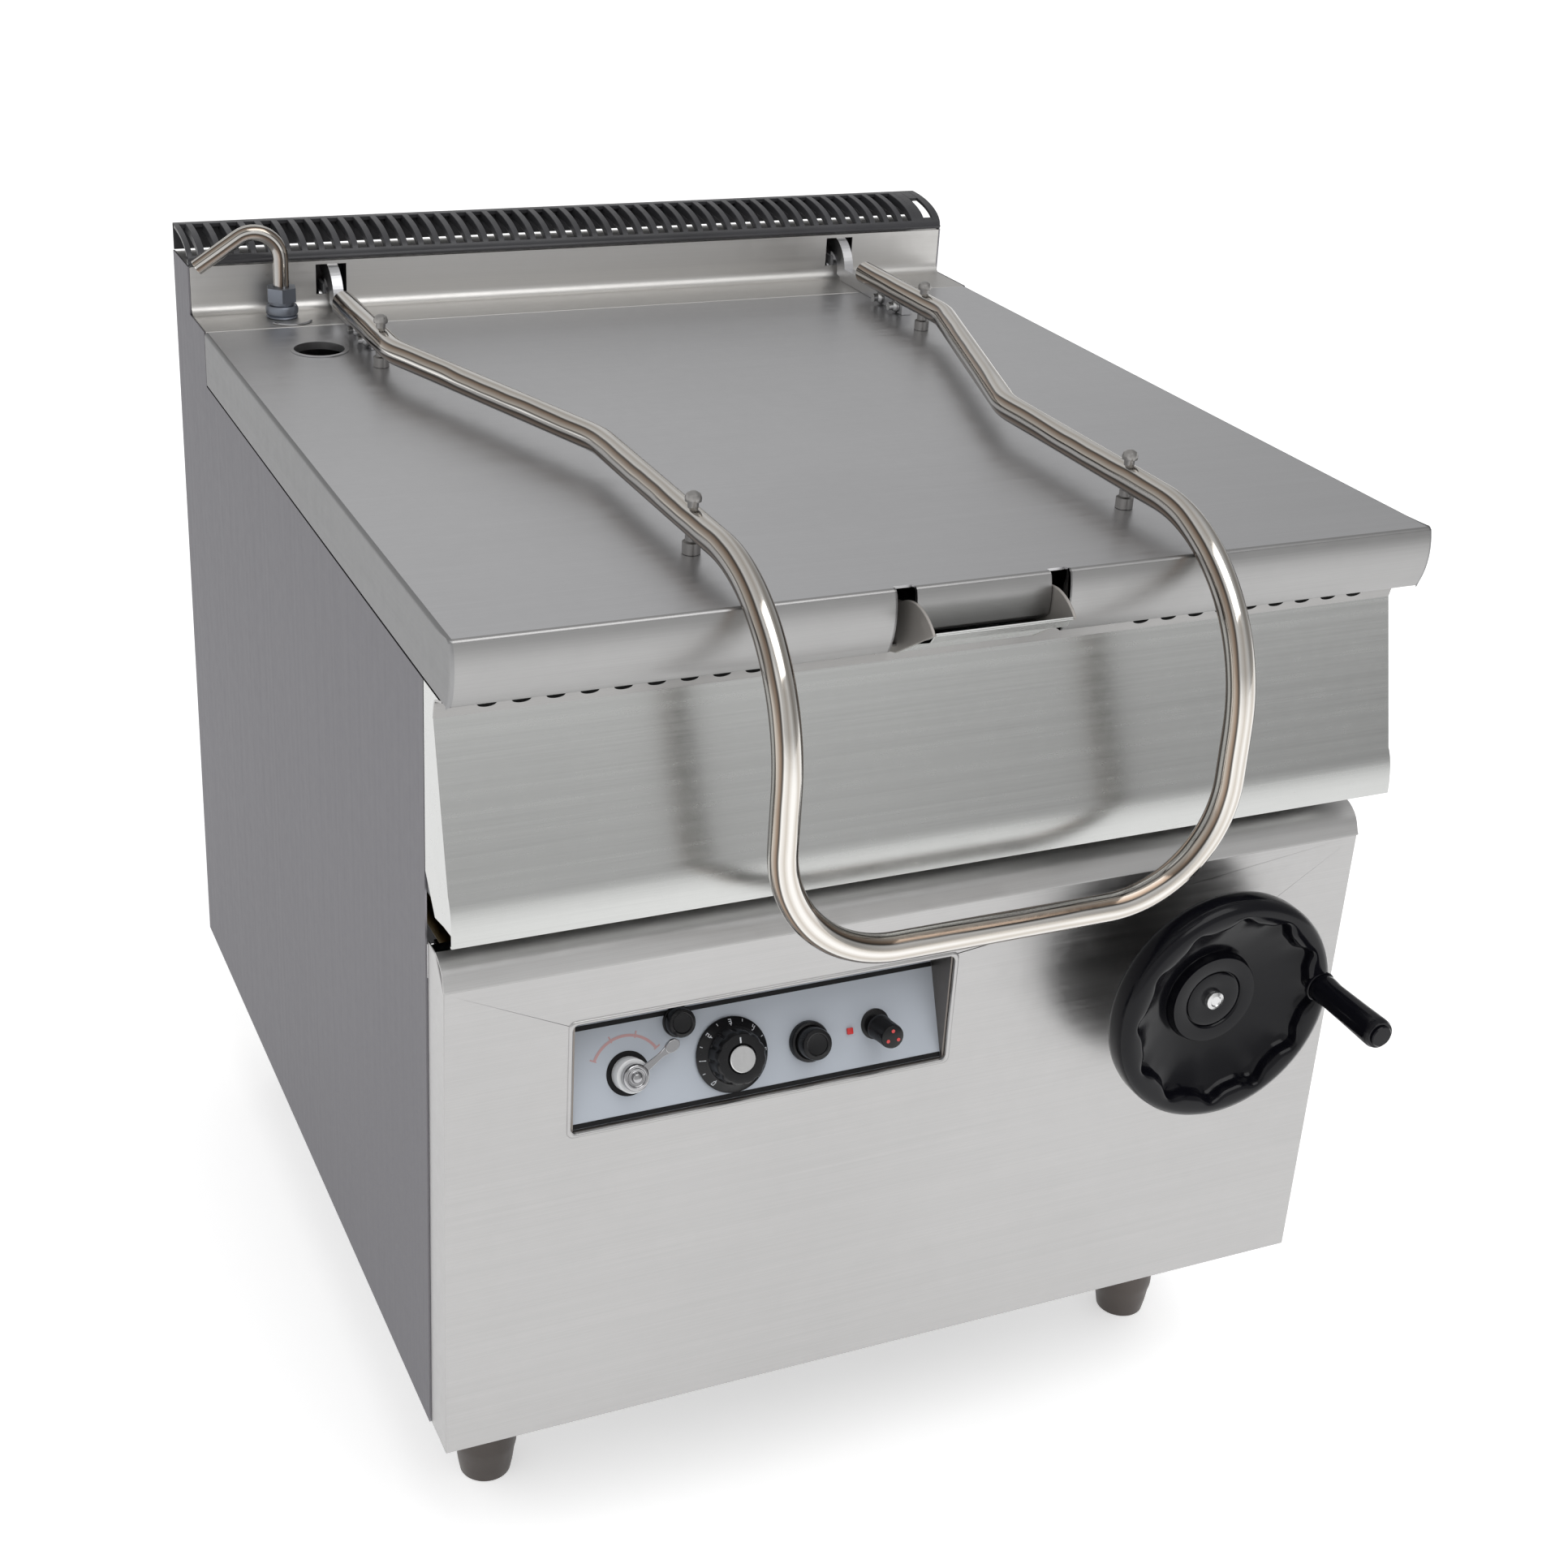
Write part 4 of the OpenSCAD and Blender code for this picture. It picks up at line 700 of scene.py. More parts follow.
build("spout_trough", draw_spout(), "apron_steel", "pan", ("pouring_spout",), bevel=0.5)
cheeks = Shape()
cheek = arc((-6.0, -50.0), 40.0, 136, 58, 14) + [(22.0, -17.5), (64.0, -66.0), (64.0, -70.6), (18.0, -57.8),
                                                 (-35.4, -23.4)]
for x in (-spout_half - cheek_t, spout_half):
    cheeks.bar(cheek, x, x + cheek_t)
build("spout_cheeks", cheeks, "cheek_shaded_steel", "pan", bevel=0.6)


# Front panel: nosing, face with the control recess, and side returns
nosing_line = [(39.5, -257.0), (35.5, -258.4), (31.5, -260.5), (27.8, -263.3), (25.0, -266.6), (22.8, -270.2),
               (21.2, -273.8), (19.9, -277.0), (18.6, -279.2), (18.4, -280.2), (20.0, -280.8)]
recess_low = (-300.0, -424.0)
recess_high = (20.0, -327.0)
wheel_at = (240.0, -384.0)
panel_foot = -704.0
panel_half = 398.5
panel_top = -280.8
panel_y = 20.0

nosing = Shape()
nosing.bar(thick(nosing_line, sheet_t), -panel_half, panel_half)
build("front_nosing", nosing, "nosing_lit_steel", "frame")


def draw_front():
    """The front panel's sheet."""
    front = Shape()
    outline = [(-panel_half, panel_top), (panel_half, panel_top), (panel_half, panel_foot),
               (-panel_half, panel_foot)]
    holes = [box_loop(recess_low, recess_high, 5.0), circle(wheel_at, 12.0, 32)]
    front.prism(outline, plane_y(panel_y), plane_y(panel_y + sheet_t), holes)
    side = [(20.4, -281.5), (39.5, -258.5), (59.6, -258.5), (59.6, panel_foot), (20.4, panel_foot)]
    for x in (-panel_half, panel_half - sheet_t):
        front.bar(side, x, x + sheet_t)
    front.block((-panel_half, 20.2, panel_foot), (panel_half, 59.6, panel_foot + sheet_t))
    return front


build("front_sheet", draw_front(), "front_steel", "frame", ("front_panel",), bevel=0.7)


def draw_recess_frame():
    """A rounded bead around the control recess: one section scaled out from the middle at each point."""
    frame_bead = Shape()
    loop = box_loop(recess_low, recess_high, 5.0)
    middle = (np.array(recess_low) + np.array(recess_high)) / 2
    size = (np.array(recess_high) - np.array(recess_low)) / 2
    section = [(-0.2, 30.0), (-0.2, 19.5), (0.6, 18.8), (1.8, 18.6), (2.8, 19.2), (3.2, 20.4), (1.5, 21.0),
               (1.3, 30.0)]
    rows = []
    for p in loop:
        away = (p - middle) / size
        corner = 1 + np.array([s for s, _ in section])[:, None] / size
        rows.append([(middle[0] + (p[0] - middle[0]) * c[0], y, middle[1] + (p[1] - middle[1]) * c[1])
                     for c, (_, y) in zip(corner, section)])
    rows.append(rows[0])
    frame_bead.grid(np.array(rows), around=True)
    return frame_bead


build("recess_bead", draw_recess_frame(), "front_steel", "frame", sharp=50, merge=0.001)


# Rear casing: fixed strip, coved splash and top flange
casing_half = 398.2
splash_y = 832.0
slot_x = 272.0


def draw_casing():
    """The strip behind the lid, the cove and the splash with its two slots."""
    casing = Shape()
    low = rounded([(767.5, -18.0), (767.5, 0.0), (splash_y, 0.0), (splash_y, 12.0)], [0, 2.0, 10.0, 0], 8)
    casing.bar(thick(low, -sheet_t), -casing_half, casing_half)
    high = [(splash_y, 42.0), (splash_y, 44.8), (splash_y + 4.0, 44.8), (899.0, 44.8)]
    casing.bar(thick(high, -sheet_t), -casing_half, casing_half)
    slots = [box_loop((x - 6.0, 12.6), (x + 24.0, 41.5), 0.5) for x in (-slot_x, slot_x)]
    splash = box_loop((-casing_half, 12.0), (casing_half, 42.0))
    casing.prism(splash, plane_y(splash_y), plane_y(splash_y + sheet_t), slots)
    return casing


build("splash_sheet", draw_casing(), "casing_steel", "frame", ("rear_casing",), sharp=40)


# Flue grille: curved ribs between a lower band and a crown
grille_half = 399.5
grille_deep, grille_high = 68.0, 22.0
rib_pitch = 16.4
rib_half = 3.1


def grille_point(a, drop=0.0):
    """A point of the grille's quarter oval at an angle from the crown, drawn in by a drop.

    It goes forward by the sine and up by the cosine, each times its half width."""
    t = math.radians(a)
    return (900.0 - (grille_deep - drop) * math.sin(t), 50.0 + (grille_high - drop) * math.cos(t))


def grille_strip(start, end, count, deep=4.0, lip=()):
    """An outline along the quarter oval and back along one drawn in by a depth, with a lip between."""
    out = [grille_point(a) for a in np.linspace(start, end, count)]
    return out + list(lip) + [grille_point(a, deep) for a in np.linspace(end, start, count)]


def draw_grille():
    """Ribs, crown, lower band, both ends with the right one's slot, and the rear wall."""
    grille = Shape()
    rib = grille_strip(3, 84, 15, 9.0)
    for i in range(-23, 24):
        x = (i - 0.5) * rib_pitch
        grille.bar(rib, x - rib_half, x + rib_half)
    grille.bar(grille_strip(0, 7, 4), -grille_half, grille_half)
    lip = [(831.0, 49.5), (830.6, 48.2), (831.6, 47.4), (832.0, 46.2), (836.0, 46.2)]
    grille.bar(grille_strip(76, 90, 5, lip=lip), -grille_half, grille_half)
    for x0, x1 in ((-grille_half, -394.5), (371.5, 381.0), (391.0, grille_half)):
        grille.bar(grille_strip(2, 86, 15), x0, x1)
    for start, end in ((2, 24), (70, 86)):
        grille.bar(grille_strip(start, end, 6), 380.8, 391.2)
    wall = [(898.0, 46.5), (899.8, 46.5), (899.8, 71.8), (898.0, 71.5)]
    grille.bar(wall, -grille_half, grille_half)
    return grille


build("grille_ribs", draw_grille(), "grille_black", "frame", ("flue_grille",), bevel=0.8)


# Control plate, leaning back inside the recess
lean = math.radians(22.0)
plate_out = np.array([0.0, -math.cos(lean), math.sin(lean)])
plate_up = np.array([0.0, math.sin(lean), math.cos(lean)])
plate_foot = np.array([0.0, 24.0, -423.0])
plate_left, plate_right = -299.0, 19.0
band_left, band_right = -298.0, 17.4
print_low, print_high = 0.02, 0.25
boss_at = (-248.0, 35.0)
button_at = (-203.5, 67.9)
dial_at = (-162.4, 34.5)
igniter_at = (-96.4, 33.0)
lamp_at = (-60.0, 34.6)
spindle_at = (-37.3, 36.4)


def on_plate(x, up, out=0.0):
    """A point by its X, its distance up the plate and its distance in front of it."""
    return plate_foot + np.array([x, 0.0, 0.0]) + up * plate_up + out * plate_out


def plate_layer(out):
    """Places an outline of X and distance up the plate at one distance in front of it."""
    return lambda p: tuple(on_plate(p[0], p[1], out))


def draw_plate():
    """The leaning enamelled sheet."""
    plate = Shape()
    plate.prism(box_loop((plate_left, 0.0), (plate_right, 102.0), 1.0), plate_layer(-1.4), plate_layer(0.0))
    return plate


build("control_sheet", draw_plate(), "control_enamel", "frame", ("control_plate",))
cheeks = Shape()
cheek = [(21.8, -423.0), (23.6, -423.0), (62.0, -328.0), (21.8, -328.0)]
for x in (plate_left, plate_right - sheet_t):
    cheeks.bar(cheek, x, x + sheet_t)
cheeks.bar(box_loop((21.8, -424.0), (25.5, -423.2)), plate_left, plate_right)
build("recess_cheeks", cheeks, "recess_shaded_steel", "frame")
bands = Shape()
for foot in (0.2, 74.0):
    band = box_loop((band_left, foot), (band_right, foot + 3.8), 0.5)
    bands.prism(band, plate_layer(print_low), plate_layer(print_high))
# A black disc under the boss: painted shade of the hole round it.
bands.prism(circle(boss_at, 17.5), plate_layer(print_low), plate_layer(0.3))
build("plate_bands_and_boss_shade", bands, "print_black", "frame")


def sector(centre, inner, outer, start, end, steps=24):
    """A closed outline of part of a ring."""
    return arc(centre, outer, start, end, steps) + arc(centre, inner, end, start, steps)


scale = Shape()
scale.prism(sector(boss_at, 28.2, 30.4, 32, 152), plate_layer(print_low), plate_layer(0.22))
for a in (32, 72, 112, 152):
    tick = sector(boss_at, 27.4, 33.0, a - 1.0, a + 1.0, 2)
    scale.prism(tick, plate_layer(print_low), plate_layer(print_high))
build("valve_scale", scale, "print_red", "frame")


def turned_on_plate(shape, at, profile, sides=48, way=plate_out):
    """A solid of revolution that stands on the plate, square to it or along another way."""
    shape.turned(profile, on_plate(*at), way, sides)


boss = Shape()
turned_on_plate(boss, boss_at, [(3.0, -14.0), (3.0, 0.3), (13.5, 0.3), (13.5, 12.0), (13.0, 12.8),
                                (4.0, 12.8)])
build("valve_boss_round", boss, "white_ceramic", "frame", ("valve_boss",), bevel=0.5)


lever_rise = 30.0


def draw_lever():
    """The valve's cap and its arm, a narrow strip with an oval tip: a cosine along it and a sine across."""
    lever = Shape()
    turned_on_plate(lever, boss_at, [
        (10.0, 12.9), (10.6, 13.6), (10.6, 19.0), (9.4, 20.4), (7.6, 20.6), (7.0, 19.4), (4.6, 19.2),
        (4.2, 20.6), (3.4, 22.2), (1.8, 22.8), (0.2, 22.9)])
    turn = math.radians(lever_rise)
    u = np.array([math.cos(turn), math.sin(turn)])
    v = np.array([-u[1], u[0]])
    centre = np.array(boss_at)

    def strip(points):
        return [tuple(centre + u * a + v * b) for a, b in points]

    lever.prism(strip([(8.0, -3.2), (26.0, -2.2), (32.0, -3.4), (32.0, 3.4), (26.0, 2.2), (8.0, 3.2)]),
                plate_layer(15.6), plate_layer(17.4))
    tip = [(37.0 + 6.4 * math.cos(t), 4.6 * math.sin(t)) for t in np.radians(np.arange(0, 360, 15))]
    lever.prism(strip(tip), plate_layer(14.6), plate_layer(18.4))
    return lever


build("valve_lever_chrome", draw_lever(), "chrome", "water_lever", ("valve_lever",), bevel=0.6)

button = Shape()
turned_on_plate(button, button_at, [
    (3.0, -14.0), (3.0, 3.3), (11.5, 3.3), (11.5, 9.5), (10.6, 11.2), (8.5, 12.0), (7.8, 11.6), (7.4, 10.9),
    (3.0, 10.6), (0.2, 10.6)])
build("reset_cap", button, "knob_black", "reset_push", ("reset_button",))
collar = Shape()
turned_on_plate(collar, button_at, [(12.5, 0.1), (12.5, 1.8), (11.8, 2.4), (3.6, 2.4)])
build("reset_collar", collar, "knob_black", "frame", bevel=0.2)


dial_edge_r, dial_edge_h = 29.0, 3.6
number_r = 26.5
first_turn, turn_step = 225.0, 45.0


def draw_dial():
    """The dial: a flared skirt and a knob with shallow flutes around its side.

    A flute is the third power of a cosine with twelve turns, taken off the radius."""
    dial = Shape()
    turned_on_plate(dial, dial_at, [
        (3.0, -14.0), (3.0, 0.3), (29.0, 0.3), (30.0, 1.2), (30.0, 2.6), (dial_edge_r, dial_edge_h),
        (24.0, 6.6), (22.6, 8.2)], 64)
    rows = []
    turn = np.radians(np.arange(0, 360, 2.5))
    for r, h, depth in ((22.6, 7.6, 0.0), (22.0, 9.0, 1.0), (21.4, 18.0, 1.3), (20.8, 21.0, 1.0),
                        (19.2, 22.8, 0.4), (17.0, 23.2, 0.0), (12.0, 23.2, 0.0), (11.2, 22.4, 0.0),
                        (10.9, 21.0, 0.0)):
        reach = r - depth * (0.5 + 0.5 * np.cos(12 * turn)) ** 3
        rows.append([on_plate(dial_at[0] + k * math.cos(t), dial_at[1] + k * math.sin(t), h)
                     for k, t in zip(reach, turn)])
    dial.grid(np.array(rows), around=True, caps=True)
    return dial


build("dial_round", draw_dial(), "knob_black", "thermostat_knob", ("thermostat_dial",))
cap = Shape()
turned_on_plate(cap, dial_at, [(10.6, 21.6), (10.6, 24.4), (10.0, 25.0), (0.2, 25.0)])
build("dial_cap_round", cap, "bright_steel", "thermostat_knob", ("dial_cap",))

segments = {0: "abcdef", 1: "bc", 2: "abged", 3: "abgcd", 4: "fgbc", 5: "afgcd", 6: "afgedc"}
strokes = {"a": ((0, 1), (1, 1)), "b": ((1, 0.5), (1, 1)), "c": ((1, 0), (1, 0.5)), "d": ((0, 0), (1, 0)),
           "e": ((0, 0), (0, 0.5)), "f": ((0, 0.5), (0, 1)), "g": ((0, 0.5), (1, 0.5))}


def draw_marks():
    """Ticks around the dial's skirt with a number at each long one, drawn with straight strokes.

    The skirt rises six tenths of the way in from its edge, and each stroke is a thin slab laid on it."""
    marks = Shape()

    def skirt(r, a, raise_by):
        h = dial_edge_h + (dial_edge_r - r) * 0.6 + raise_by
        return on_plate(dial_at[0] + r * math.cos(a), dial_at[1] + r * math.sin(a), h)

    def stroke(p, q, width, spin):
        d = np.array(q, float) - np.array(p, float)
        d /= np.linalg.norm(d)
        n = np.array([-d[1], d[0]]) * width / 2
        quad = [np.array(p) - n - d * width / 2, np.array(q) - n + d * width / 2,
                np.array(q) + n + d * width / 2, np.array(p) + n - d * width / 2]
        low = [skirt(c[1], spin - c[0] / number_r, 0.0) for c in quad]
        high = [skirt(c[1], spin - c[0] / number_r, 0.15) for c in quad]
        marks.add(low + high, [(0, 1, 2, 3), (4, 5, 6, 7), (0, 1, 5, 4), (1, 2, 6, 5), (2, 3, 7, 6),
                               (3, 0, 4, 7)])

    for i in range(7):
        spin = math.radians(first_turn - turn_step * i)
        stroke((0, 23.6), (0, 24.6), 0.7, spin)
        for s in segments[i]:
            (x0, y0), (x1, y1) = strokes[s]
            shift = -0.9 if i != 1 else -1.8
            stroke((shift + 1.8 * x0, 25.2 + 3.0 * y0), (shift + 1.8 * x1, 25.2 + 3.0 * y1), 0.55, spin)
        if i < 6:
            stroke((0, 27.0), (0, 28.4), 0.5, spin - math.radians(turn_step / 2))
    return marks


build("dial_marks", draw_marks(), "print_white", "thermostat_knob")
pointer = Shape()
line = box_loop((dial_at[0] - 0.6, dial_at[1] + 12.5), (dial_at[0] + 0.6, dial_at[1] + 17.0))
pointer.prism(line, plate_layer(23.0), plate_layer(23.4))
build("dial_pointer", pointer, "print_white", "thermostat_knob")

igniter = Shape()
turned_on_plate(igniter, igniter_at, [
    (3.0, -10.0), (3.0, 4.3), (12.8, 4.3), (12.8, 17.0), (12.0, 18.6), (9.5, 19.2), (8.6, 18.8), (8.2, 17.9),
    (4.0, 17.4), (0.2, 17.4)])
build("igniter_cap", igniter, "knob_black", "igniter_push", ("igniter_button",))
base = Shape()
turned_on_plate(base, igniter_at, [(16.5, 0.1), (16.5, 4.0), (15.6, 5.6), (14.0, 6.2), (13.3, 6.0),
                                   (13.2, 0.1)])
build("igniter_base", base, "knob_black", "frame")

lamp = Shape()
lamp.prism(box_loop((lamp_at[0] - 2.6, lamp_at[1] - 2.6), (lamp_at[0] + 2.6, lamp_at[1] + 2.6), 0.6),
           plate_layer(0.1), plate_layer(2.0))
build("lamp_lens_square", lamp, "lamp_red", "frame", ("indicator_lamp",), bevel=0.4)

dot_reach = 5.2
droop = math.radians(11.0)
knob_out = np.array([0.0, -math.cos(droop), math.sin(droop)])
knob_up = np.array([0.0, math.sin(droop), math.cos(droop)])
spindle = Shape()
turned_on_plate(spindle, spindle_at, [
    (3.0, -12.0), (3.0, 7.0), (9.4, 7.0), (10.4, 8.0), (10.4, 11.0), (10.0, 11.6), (10.0, 29.5), (9.4, 31.4),
    (8.0, 32.2), (0.2, 32.2)], way=knob_out)
build("pilot_knob", spindle, "knob_black", "pilot_push", ("pilot_spindle",))
dots = Shape()
for a in (90, 210, 330):
    across, up = dot_reach * math.cos(math.radians(a)), dot_reach * math.sin(math.radians(a))
    at = on_plate(*spindle_at) + np.array([across, 0.0, 0.0]) + up * knob_up
    dots.turned([(1.5, 31.9), (1.5, 32.5)], at, knob_out, 16)
build("pilot_dots", dots, "lamp_red", "pilot_push")
ring = Shape()
turned_on_plate(ring, spindle_at, [(12.4, 0.1), (12.4, 0.8), (11.8, 1.2), (3.8, 1.2)])
build("pilot_ring", ring, "knob_black", "frame")


# Handwheel: a dished disc, its rim's inner edge waved for the fingers
def draw_wheel():
    """Rows of radius and depth from the hub's back over the rim to the hub's front.

    The third number is the share of the finger wave in the row's radius: a cosine with twelve turns round
    the wheel and a smaller one with twenty-four."""
    rows = [(6.0, 8.0, 0), (23.0, 8.0, 0), (24.0, 7.0, 0), (26.0, -3.0, 0), (40.0, -9.0, 0), (84.0, -27.0, 0),
            (88.0, -22.6, 0), (92.0, -22.0, 0), (96.5, -23.2, 0), (99.2, -26.0, 0), (100.0, -30.0, 0),
            (100.0, -40.0, 0), (99.2, -44.6, 0), (96.8, -48.0, 0), (93.0, -49.8, 0), (89.0, -50.0, 0.1),
            (85.0, -49.4, 0.6), (82.6, -47.8, 1), (81.6, -45.0, 1), (81.0, -40.0, 1), (80.2, -36.8, 0.9),
            (76.0, -34.2, 0.5), (66.0, -30.0, 0.0), (44.0, -20.5, 0), (41.2, -20.2, 0), (40.0, -21.5, 0),
            (39.6, -26.6, 0), (38.6, -28.0, 0), (27.5, -28.0, 0), (26.0, -27.4, 0), (25.2, -25.0, 0),
            (6.0, -24.0, 0)]
    wheel = Shape()
    turn = np.radians(np.arange(0, 360, 1.5))
    wave = 3.2 * np.cos(12 * turn + 0.4) + 0.8 * np.cos(24 * turn + 0.8)
    out = []
    for r, y, share in rows:
        reach = r + share * wave
        out.append(np.stack([wheel_at[0] + reach * np.cos(turn), np.full_like(turn, y),
                             wheel_at[1] + reach * np.sin(turn)], 1))
    wheel.grid(np.array(out), around=True, caps=True)
    return wheel


build("handwheel_dished", draw_wheel(), "wheel_black", "tilt_wheel", ("handwheel",), sharp=50)
centre = Shape()
hub_at = (wheel_at[0], 0.0, wheel_at[1])
forward = (0, -1, 0)
centre.turned([(24.6, 25.2), (24.4, 26.6), (22.0, 27.4), (14.0, 26.0), (0.2, 26.0)], hub_at, forward)
build("wheel_washer", centre, "wheel_black", "tilt_wheel", ("wheel_cap",))
nut = Shape()
nut.turned([(8.6, 25.8), (8.6, 28.5), (7.8, 29.8), (5.0, 30.8), (4.0, 29.8), (0.2, 29.8)],
           hub_at, forward, 24)
build("wheel_nut", nut, "bright_steel", "tilt_wheel")
grip_reach = 89.0
grip_turn = math.radians(5)
grip_at = (wheel_at[0] + grip_reach * math.cos(grip_turn), 0.0,
           wheel_at[1] + grip_reach * math.sin(grip_turn))
grip = Shape()
grip.turned([(5.4, 50.3), (11.6, 50.3), (12.2, 51.2), (12.2, 58.0), (11.4, 66.0), (12.2, 100.0),
             (12.8, 120.0), (12.7, 125.0), (11.4, 127.8), (5.4, 128.3)], grip_at, forward)
build("grip_round", grip, "wheel_black", "wheel_grip", ("grip",))
bolt = Shape()
bolt.turned([(5.0, 48.0), (5.0, 128.5), (9.2, 128.5), (9.2, 129.6), (8.4, 130.5), (0.2, 130.6)],
            grip_at, forward)
bolt.turned([(13.4, 46.0), (13.4, 49.4), (12.6, 50.1), (5.0, 50.1)], grip_at, forward)
build("grip_bolt_round", bolt, "wheel_black", "tilt_wheel", ("grip_bolt",))


# Tap on the rear strip
tap_at = np.array([-318.0, 805.0, 0.0])
tap_turn = math.radians(172.0)
bead_at = (tap_at[0] + 4.0, 792.0)


def draw_tap():
    """The swivelling spout: a column, a bend along an arc and a straight falling end."""
    tap = Shape()
    line = [(0.0, 11.5), (0.0, 40.0), (0.0, 56.5)] + arc((24.0, 56.5), 24.0, 178, 55, 16)
    end = np.array(line[-1])
    line += [tuple(end + (np.array([78.0, 48.0]) - end) * t) for t in (0.3, 0.7, 1.0)]
    path = [tap_at + np.array([r * math.cos(tap_turn), r * math.sin(tap_turn), z]) for r, z in line]
    tap.tube(path, 7.45, 28)
    return tap


build("tap_tube", draw_tap(), "tube_steel", "tap_spout", ("tap_spout",), bevel=0.8, sharp=50)


def draw_tap_body():
    """The union nut under the tube, its foot ring and the shank below the strip."""
    body = Shape()
    body.turned([(9.0, -40.0), (9.0, 0.3), (14.2, 0.3), (15.0, 1.4), (14.0, 2.6), (12.0, 3.2)], tap_at)
    hole = circle(tap_at[:2], 7.6, 32)
    hexagon = arc(tap_at[:2], 15.0, 20, 320, 5)
    body.turned([(7.7, 2.6), (13.6, 2.6), (15.2, 4.6), (15.4, 9.0), (14.0, 12.0), (11.6, 12.8), (11.6, 16.0),
                 (7.7, 16.0)], tap_at, sides=24, ends=False)
    body.prism(hexagon, plane_z(15.8), plane_z(29.0), [hole])
    return body


build("tap_union", draw_tap_body(), "valve_alloy", "frame", ("tap_body",), bevel=1.0)
bead = Shape()
bead.tube([(x, y, 1.0) for x, y in arc(bead_at, 21.0, 212, 330, 16)], 1.1, 10)
build("tap_bead", bead, "chrome", "frame")


# Feet
foot_x = 324.0


def draw_foot(x, y):
    """A turned adjustable foot: a cup, a neck and a collar."""
    foot = Shape()
    foot.turned([(0.5, 0.0), (20.5, 0.0), (22.0, 1.0), (24.0, 12.0), (25.4, 24.0), (26.8, 30.0), (27.0, 34.0),
                 (26.8, 40.0), (26.4, 60.0), (22.0, 62.0), (22.0, 145.7), (0.5, 145.7)], (x, y, floor_z))
    return foot


for row, y in (("front", 150.0), ("rear", 800.0)):
    for side, x in (("left", -foot_x), ("right", foot_x)):
        build(f"{row}_{side}_turned_foot", draw_foot(x, y), "foot_grey", "frame", (f"{row}_{side}_foot",))


# CAD nodes kept as they are, with softened edges
cad_edge = 0.6
for name in ("left_hinge_arm", "right_hinge_arm", "left_side_panel", "right_side_panel", "back_panel",
             "left_hinge_bracket", "right_hinge_bracket", "base_frame", "combustion_tray", "pan_tub",
             "left_trunnion", "right_trunnion", "left_trunnion_bearing", "right_trunnion_bearing", "tilt_lug",
             "tilt_link", "screw_nut", "gas_valve", "front_screw_bearing", "rear_screw_bearing"):
    soften(frame["nodes"][name], cad_edge)


# Stage, light and camera
soft_level = 0.72
wall_level = 0.66
ceiling_level = 0.92
right_level = 0.55
floor_glow = 0.52
floor_reach = 14.0
lamps = {"key": ((0.4, -2.1, 4.3), (0, 0, 0.6), 3.2, 62.0),
         "fill": ((-3.6, -2.6, 2.4), (0, 0, 0.5), 3.2, 6.0)}


def area_light(name, where, look_at, size, power):
    """A square soft lamp turned to a point."""
    lamp = bpy.data.lights.new(name, "AREA")
    lamp.shape = "SQUARE"
    lamp.size = size
    lamp.energy = power
    holder = bpy.data.objects.new(name, lamp)
    bpy.context.scene.collection.objects.link(holder)
    away = np.array(where, float) - np.array(look_at, float)
    away /= np.linalg.norm(away)
    side = np.cross([0.0, 0.0, 1.0], away)
    side /= np.linalg.norm(side)
    turn = np.column_stack([side, np.cross(away, side), away, where])
    holder.matrix_world = Matrix(np.vstack([turn, [0, 0, 0, 1]]).tolist())


def bright_path(tree):
    """One for rays from the camera and for reflected and refracted rays, else nought."""
    path = add_node(tree, "ShaderNodeLightPath")
    seen = arithmetic(tree, "MAXIMUM", path.outputs["Is Camera Ray"], path.outputs["Is Transmission Ray"])
    return path, arithmetic(tree, "MAXIMUM", seen, path.outputs["Is Glossy Ray"])


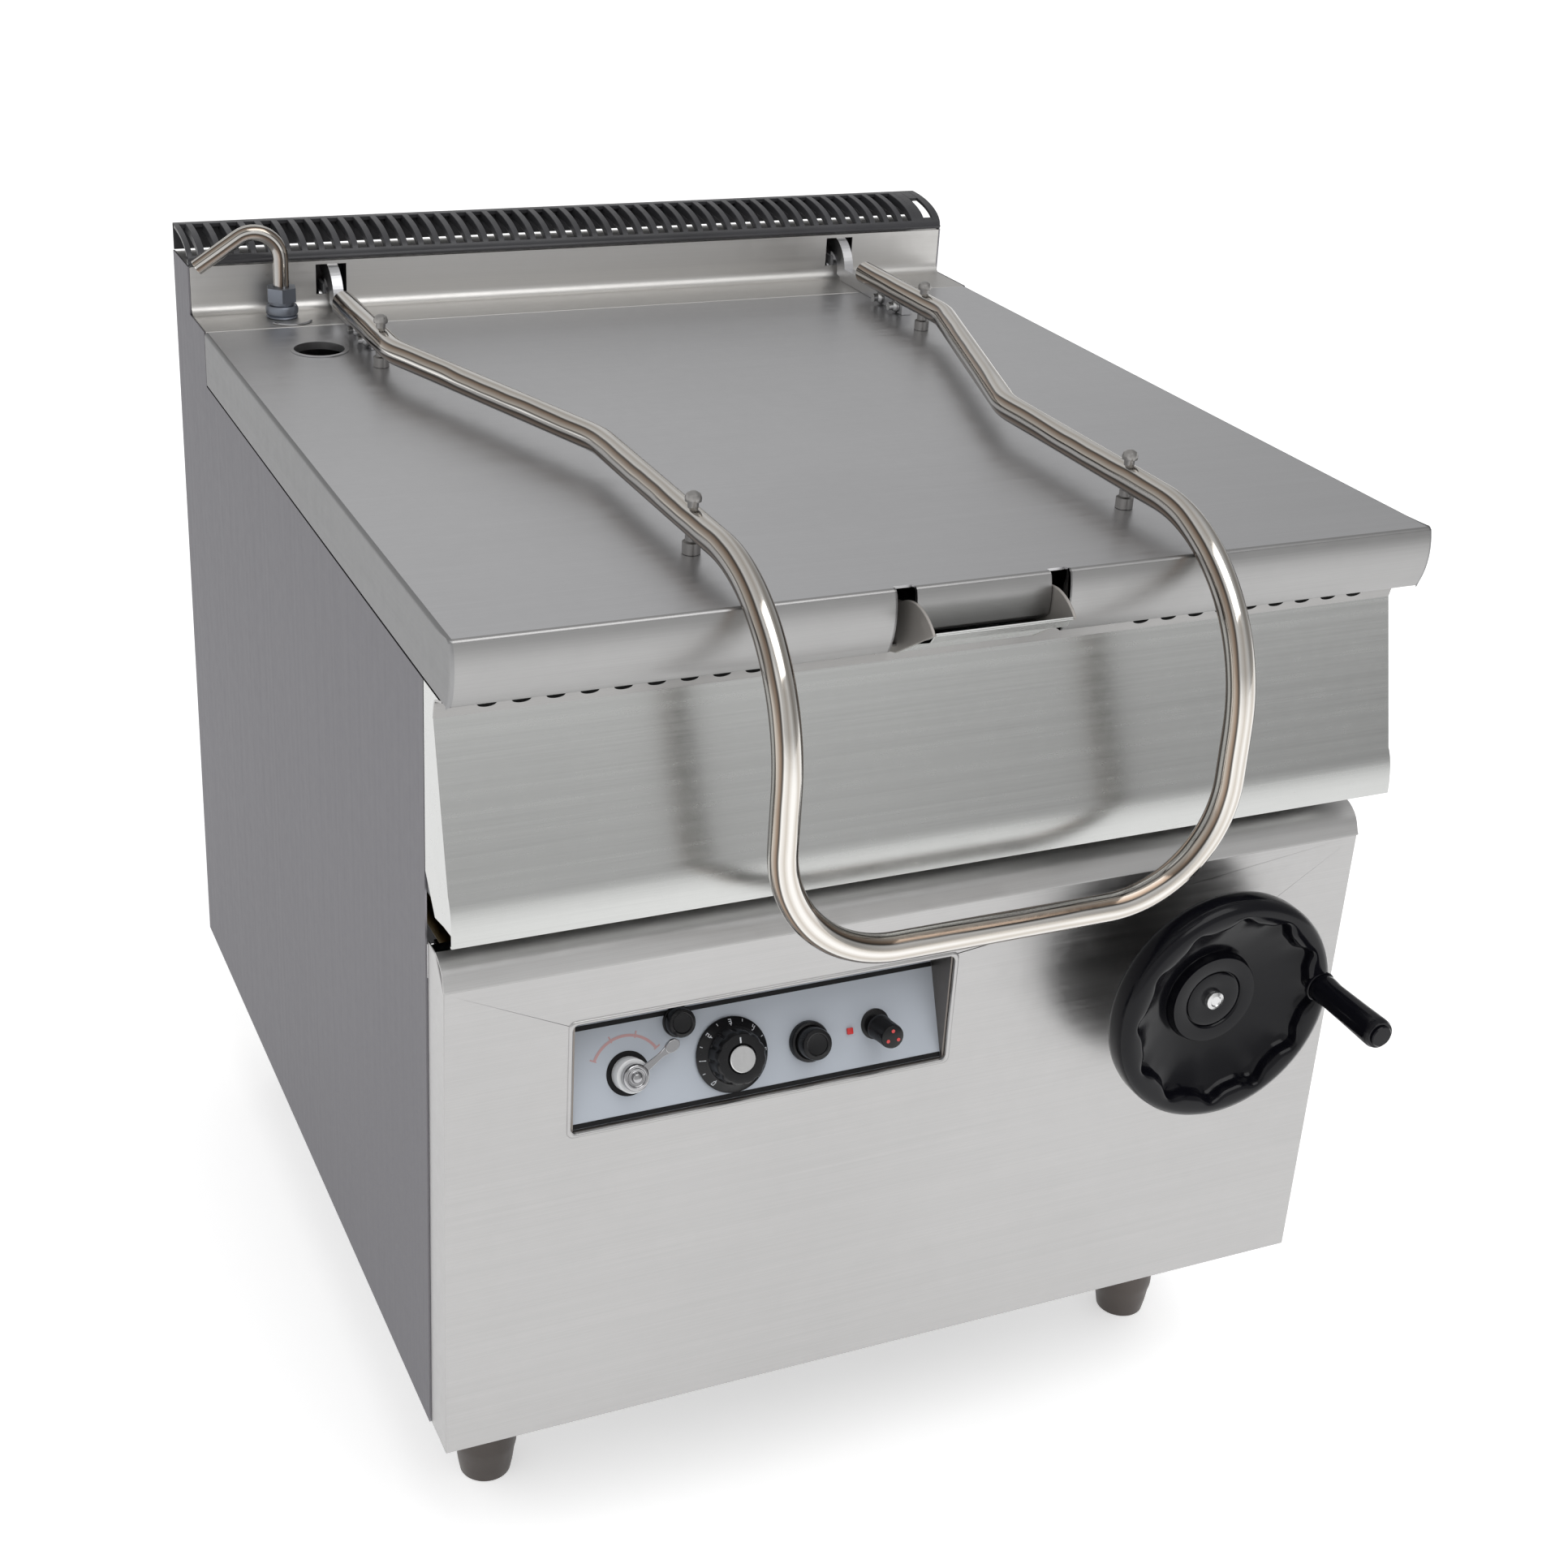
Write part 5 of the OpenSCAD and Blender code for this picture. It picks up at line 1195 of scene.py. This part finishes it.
def set_world():
    """White to the camera, darker upwards and to the right in reflections, else an even soft light."""
    surround = bpy.data.worlds.new("studio")
    bpy.context.scene.world = surround
    surround.use_nodes = True
    tree = surround.node_tree
    tree.nodes.clear()
    path, seen = bright_path(tree)
    where = add_node(tree, "ShaderNodeTexCoord").outputs["Generated"]
    way = add_node(tree, "ShaderNodeSeparateXYZ", {"Vector": where})
    wall = spread(tree, way.outputs["Z"], 1.0, wall_level, -0.02, 0.14)
    ceiling = spread(tree, way.outputs["Z"], 1.0, ceiling_level, 0.15, 0.7)
    right = spread(tree, way.outputs["X"], 1.0, right_level, 0.35, 0.75)
    reflected = arithmetic(tree, "MULTIPLY", arithmetic(tree, "MULTIPLY", wall, ceiling), right)
    shown = arithmetic(tree, "MAXIMUM", reflected, path.outputs["Is Camera Ray"])
    level = add_node(tree, "ShaderNodeMix", {"Factor": seen, "A": soft_level, "B": shown}).outputs["Result"]
    light = add_node(tree, "ShaderNodeBackground", {"Color": (1, 1, 1, 1), "Strength": level})
    output = add_node(tree, "ShaderNodeOutputWorld")
    tree.links.new(light.outputs[0], output.inputs["Surface"])


def floor_finish():
    """A matt white floor that the camera and reflections see a little brighter."""
    material = plain("floor_white", (0.86, 0.86, 0.86), 0.7, grain=6.0, contrast=0.01)
    tree = material.node_tree
    shader = [n for n in tree.nodes if n.type == "BSDF_PRINCIPLED"][0]
    seen = bright_path(tree)[1]
    shader.inputs["Emission Color"].default_value = (1, 1, 1, 1)
    tree.links.new(arithmetic(tree, "MULTIPLY", seen, floor_glow), shader.inputs["Emission Strength"])
    return material


def set_stage():
    """A pale floor, a white surround and soft lamps."""
    scene = bpy.context.scene
    scene.view_settings.view_transform = "Standard"
    set_world()
    floor_mesh = bpy.data.meshes.new("floor")
    low, high = -floor_reach, floor_reach
    corners = [(low, low, 0), (high, low, 0), (high, high, 0), (low, high, 0)]
    floor_mesh.from_pydata(corners, [], [(0, 1, 2, 3)])
    floor = bpy.data.objects.new("floor", floor_mesh)
    scene.collection.objects.link(floor)
    floor_mesh.materials.append(floor_finish())
    for name, (where, look_at, size, power) in lamps.items():
        area_light(name, where, look_at, size, power)


def set_camera():
    """The photograph's camera, worked out from the casing's edges.

    It is a place, a turn as an axis times its angle, a lens and a shift."""
    place = (-0.8099, front_y - 1.3499, top_z + 0.5945)
    turn = Vector((1.98928, -0.37867, 0.30775))
    to_camera = np.array(Matrix.Rotation(turn.length, 3, turn.normalized()))
    to_world = (np.diag([1.0, -1.0, -1.0]) @ to_camera).T
    lens = bpy.data.cameras.new("camera")
    lens.sensor_width = 36.0
    lens.lens = 53.35
    lens.shift_x = 0.0316
    lens.shift_y = -0.0238
    lens.clip_end = 60.0
    holder = bpy.data.objects.new("camera", lens)
    bpy.context.scene.collection.objects.link(holder)
    holder.matrix_world = Matrix(np.vstack([np.column_stack([to_world, place]), [0, 0, 0, 1]]).tolist())
    bpy.context.scene.camera = holder


set_stage()
set_camera()
